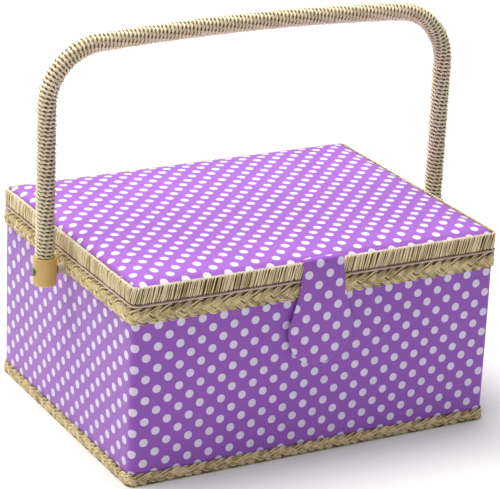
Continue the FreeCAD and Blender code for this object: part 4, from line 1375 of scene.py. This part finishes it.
def make_tab():
    """One puffed shell with a turned edge, from its root in the lid to its round tip."""
    line = tab_line()
    across_steps = 18
    outs = []
    for index in range(len(line)):
        before, after = line[max(0, index - 1)], line[min(len(line) - 1, index + 1)]
        along = Vector((0, after[0] - before[0], after[1] - before[1])).normalized()
        outs.append(Vector((0, along.z, -along.y)))
    outer = [Vector((0, *spot)) + out * 2.5 * MM for spot, out in zip(line, outs)]
    runs = [0.0]
    for first, second in zip(outer, outer[1:]):
        runs.append(runs[-1] + (second - first).length)
    level = line[ROOT_STEPS][1] - 0.6 * MM
    vertices, corners_at = [], []
    for index, ((y, z), out) in enumerate(zip(line, outs)):
        half = max(tab_half_width(z), 0.02 * MM)
        if index < ROOT_STEPS - 1:
            half = ROOT_HALF if index <= 4 else TOP_HALF
        run = runs[index]
        tip = lies_between(len(line) - 1 - index, 0, 6)
        for side in range(2):
            steps = range(across_steps + 1) if side == 0 else range(across_steps - 1, 0, -1)
            for step in steps:
                angle = math.pi * step / across_steps
                x = -math.cos(angle) * half
                edge = half - abs(x)
                puff = 1 - math.exp(-edge / (2.2 * MM))
                bead = math.exp(-(((edge - 0.8 * MM) / (0.8 * MM)) ** 2)) * 0.45 * MM
                crease = 0.3 * MM * noise.noise(Vector((x * 90, run * 55, 2.0)))
                thick = 0.75 * MM + 1.75 * MM * puff * tip + bead + crease * puff
                vertices.append(Vector((x, y, z)) + out * (thick if side == 0 else 0.0))
                corners_at.append((x, level + runs[ROOT_STEPS] - run))
    faces = sleeve(len(line), across_steps * 2)
    corners = [[TAB_CUT.place(*corners_at[v]) for v in face] for face in faces]
    tab = make_piece("tab_shell", vertices, faces, dotted_cotton, corners)
    tidy(tab.data, 0.005 * MM)
    smooth = tab.modifiers.new("smooth", "SUBSURF")
    smooth.levels = 1
    smooth.render_levels = 1
    tab.data = plain_copy(tab)
    tab.modifiers.clear()
    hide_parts("tab_cover", "tab_backing", "tab_stiffener")
    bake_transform(tab)


# ---- the handle


BEND = 46.5 * MM
CROWN_RADIUS = 2147 * MM
WRAP_PITCH = 3.25 * MM


def handle_points():
    """The middle line of the bowed tube: up one leg, over the crown and down the other."""
    low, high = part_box("handle_wrap")
    tube = high.y
    leg = high.x - tube
    crown_middle = high.z - tube - CROWN_RADIUS
    inner_x = leg - BEND
    centre_z = crown_middle + math.sqrt((CROWN_RADIUS - BEND) ** 2 - inner_x**2)
    sweep = math.atan2(inner_x, centre_z - crown_middle)
    steps = 40
    right = []
    for index in range(steps):
        angle = sweep * index / steps
        x = CROWN_RADIUS * math.sin(angle)
        right.append((x, CROWN_RADIUS * math.cos(angle) + crown_middle))
    for index in range(steps + 1):
        angle = (math.pi / 2 - sweep) * (1 - index / steps)
        right.append((inner_x + BEND * math.cos(angle), centre_z + BEND * math.sin(angle)))
    for index in range(1, steps + 1):
        right.append((leg, centre_z + (low.z - centre_z) * index / steps))
    left = [(-x, z) for x, z in reversed(right)]
    return [Vector((x, 0, z)) for x, z in left + right[1:]]


def make_handle_wrap():
    points = handle_points()
    length = sum((b - a).length for a, b in zip(points, points[1:]))
    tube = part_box("handle_wrap")[1].y
    turns = round(length / WRAP_PITCH)
    sizes = {
        "Strands": 1,
        "Steps": turns * 72,
        "Sides": 5,
        "Turns": float(turns),
        "Plies": 4.57,
        "Radius": tube - 1.5 * MM,
        "Wide": 1.75 * MM,
        "Thin": 0.85 * MM,
    }
    axis = (0.0, 1.0, 0.0)
    wrap = lay_strands("handle_wrap_cord", points, False, wrap_shape, sizes, GRASSES["handle_grass"], axis)
    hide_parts("handle_wrap")
    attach(wrap, "handle")


# ---- everything together


def paint_nodes():
    """Gives every CAD node the finish of its slot."""
    for part in frame["record"]["subparts"]:
        for place in frame["nodes"][part["node"]].material_slots:
            place.material = FINISHES[part["material_slot"]]


def add_floor():
    mesh = bpy.data.meshes.new("floor")
    corners = [(x * FLOOR_REACH, y * FLOOR_REACH, 0) for x, y in ((-1, -1), (1, -1), (1, 1), (-1, 1))]
    mesh.from_pydata(corners, [], [(0, 1, 2, 3)])
    mesh.materials.append(finish("floor_paper", paint_floor))
    floor = add_object("floor", mesh)


add_camera()
add_studio()
add_floor()
paint_nodes()
make_wall_cover()
make_wall_lining()
make_floor_lining()
make_plaits()
make_lid_pad()
make_lid_band()
make_lid_lining()
make_pincushion()
make_pocket()
make_elastic()
make_tab()
make_handle_wrap()
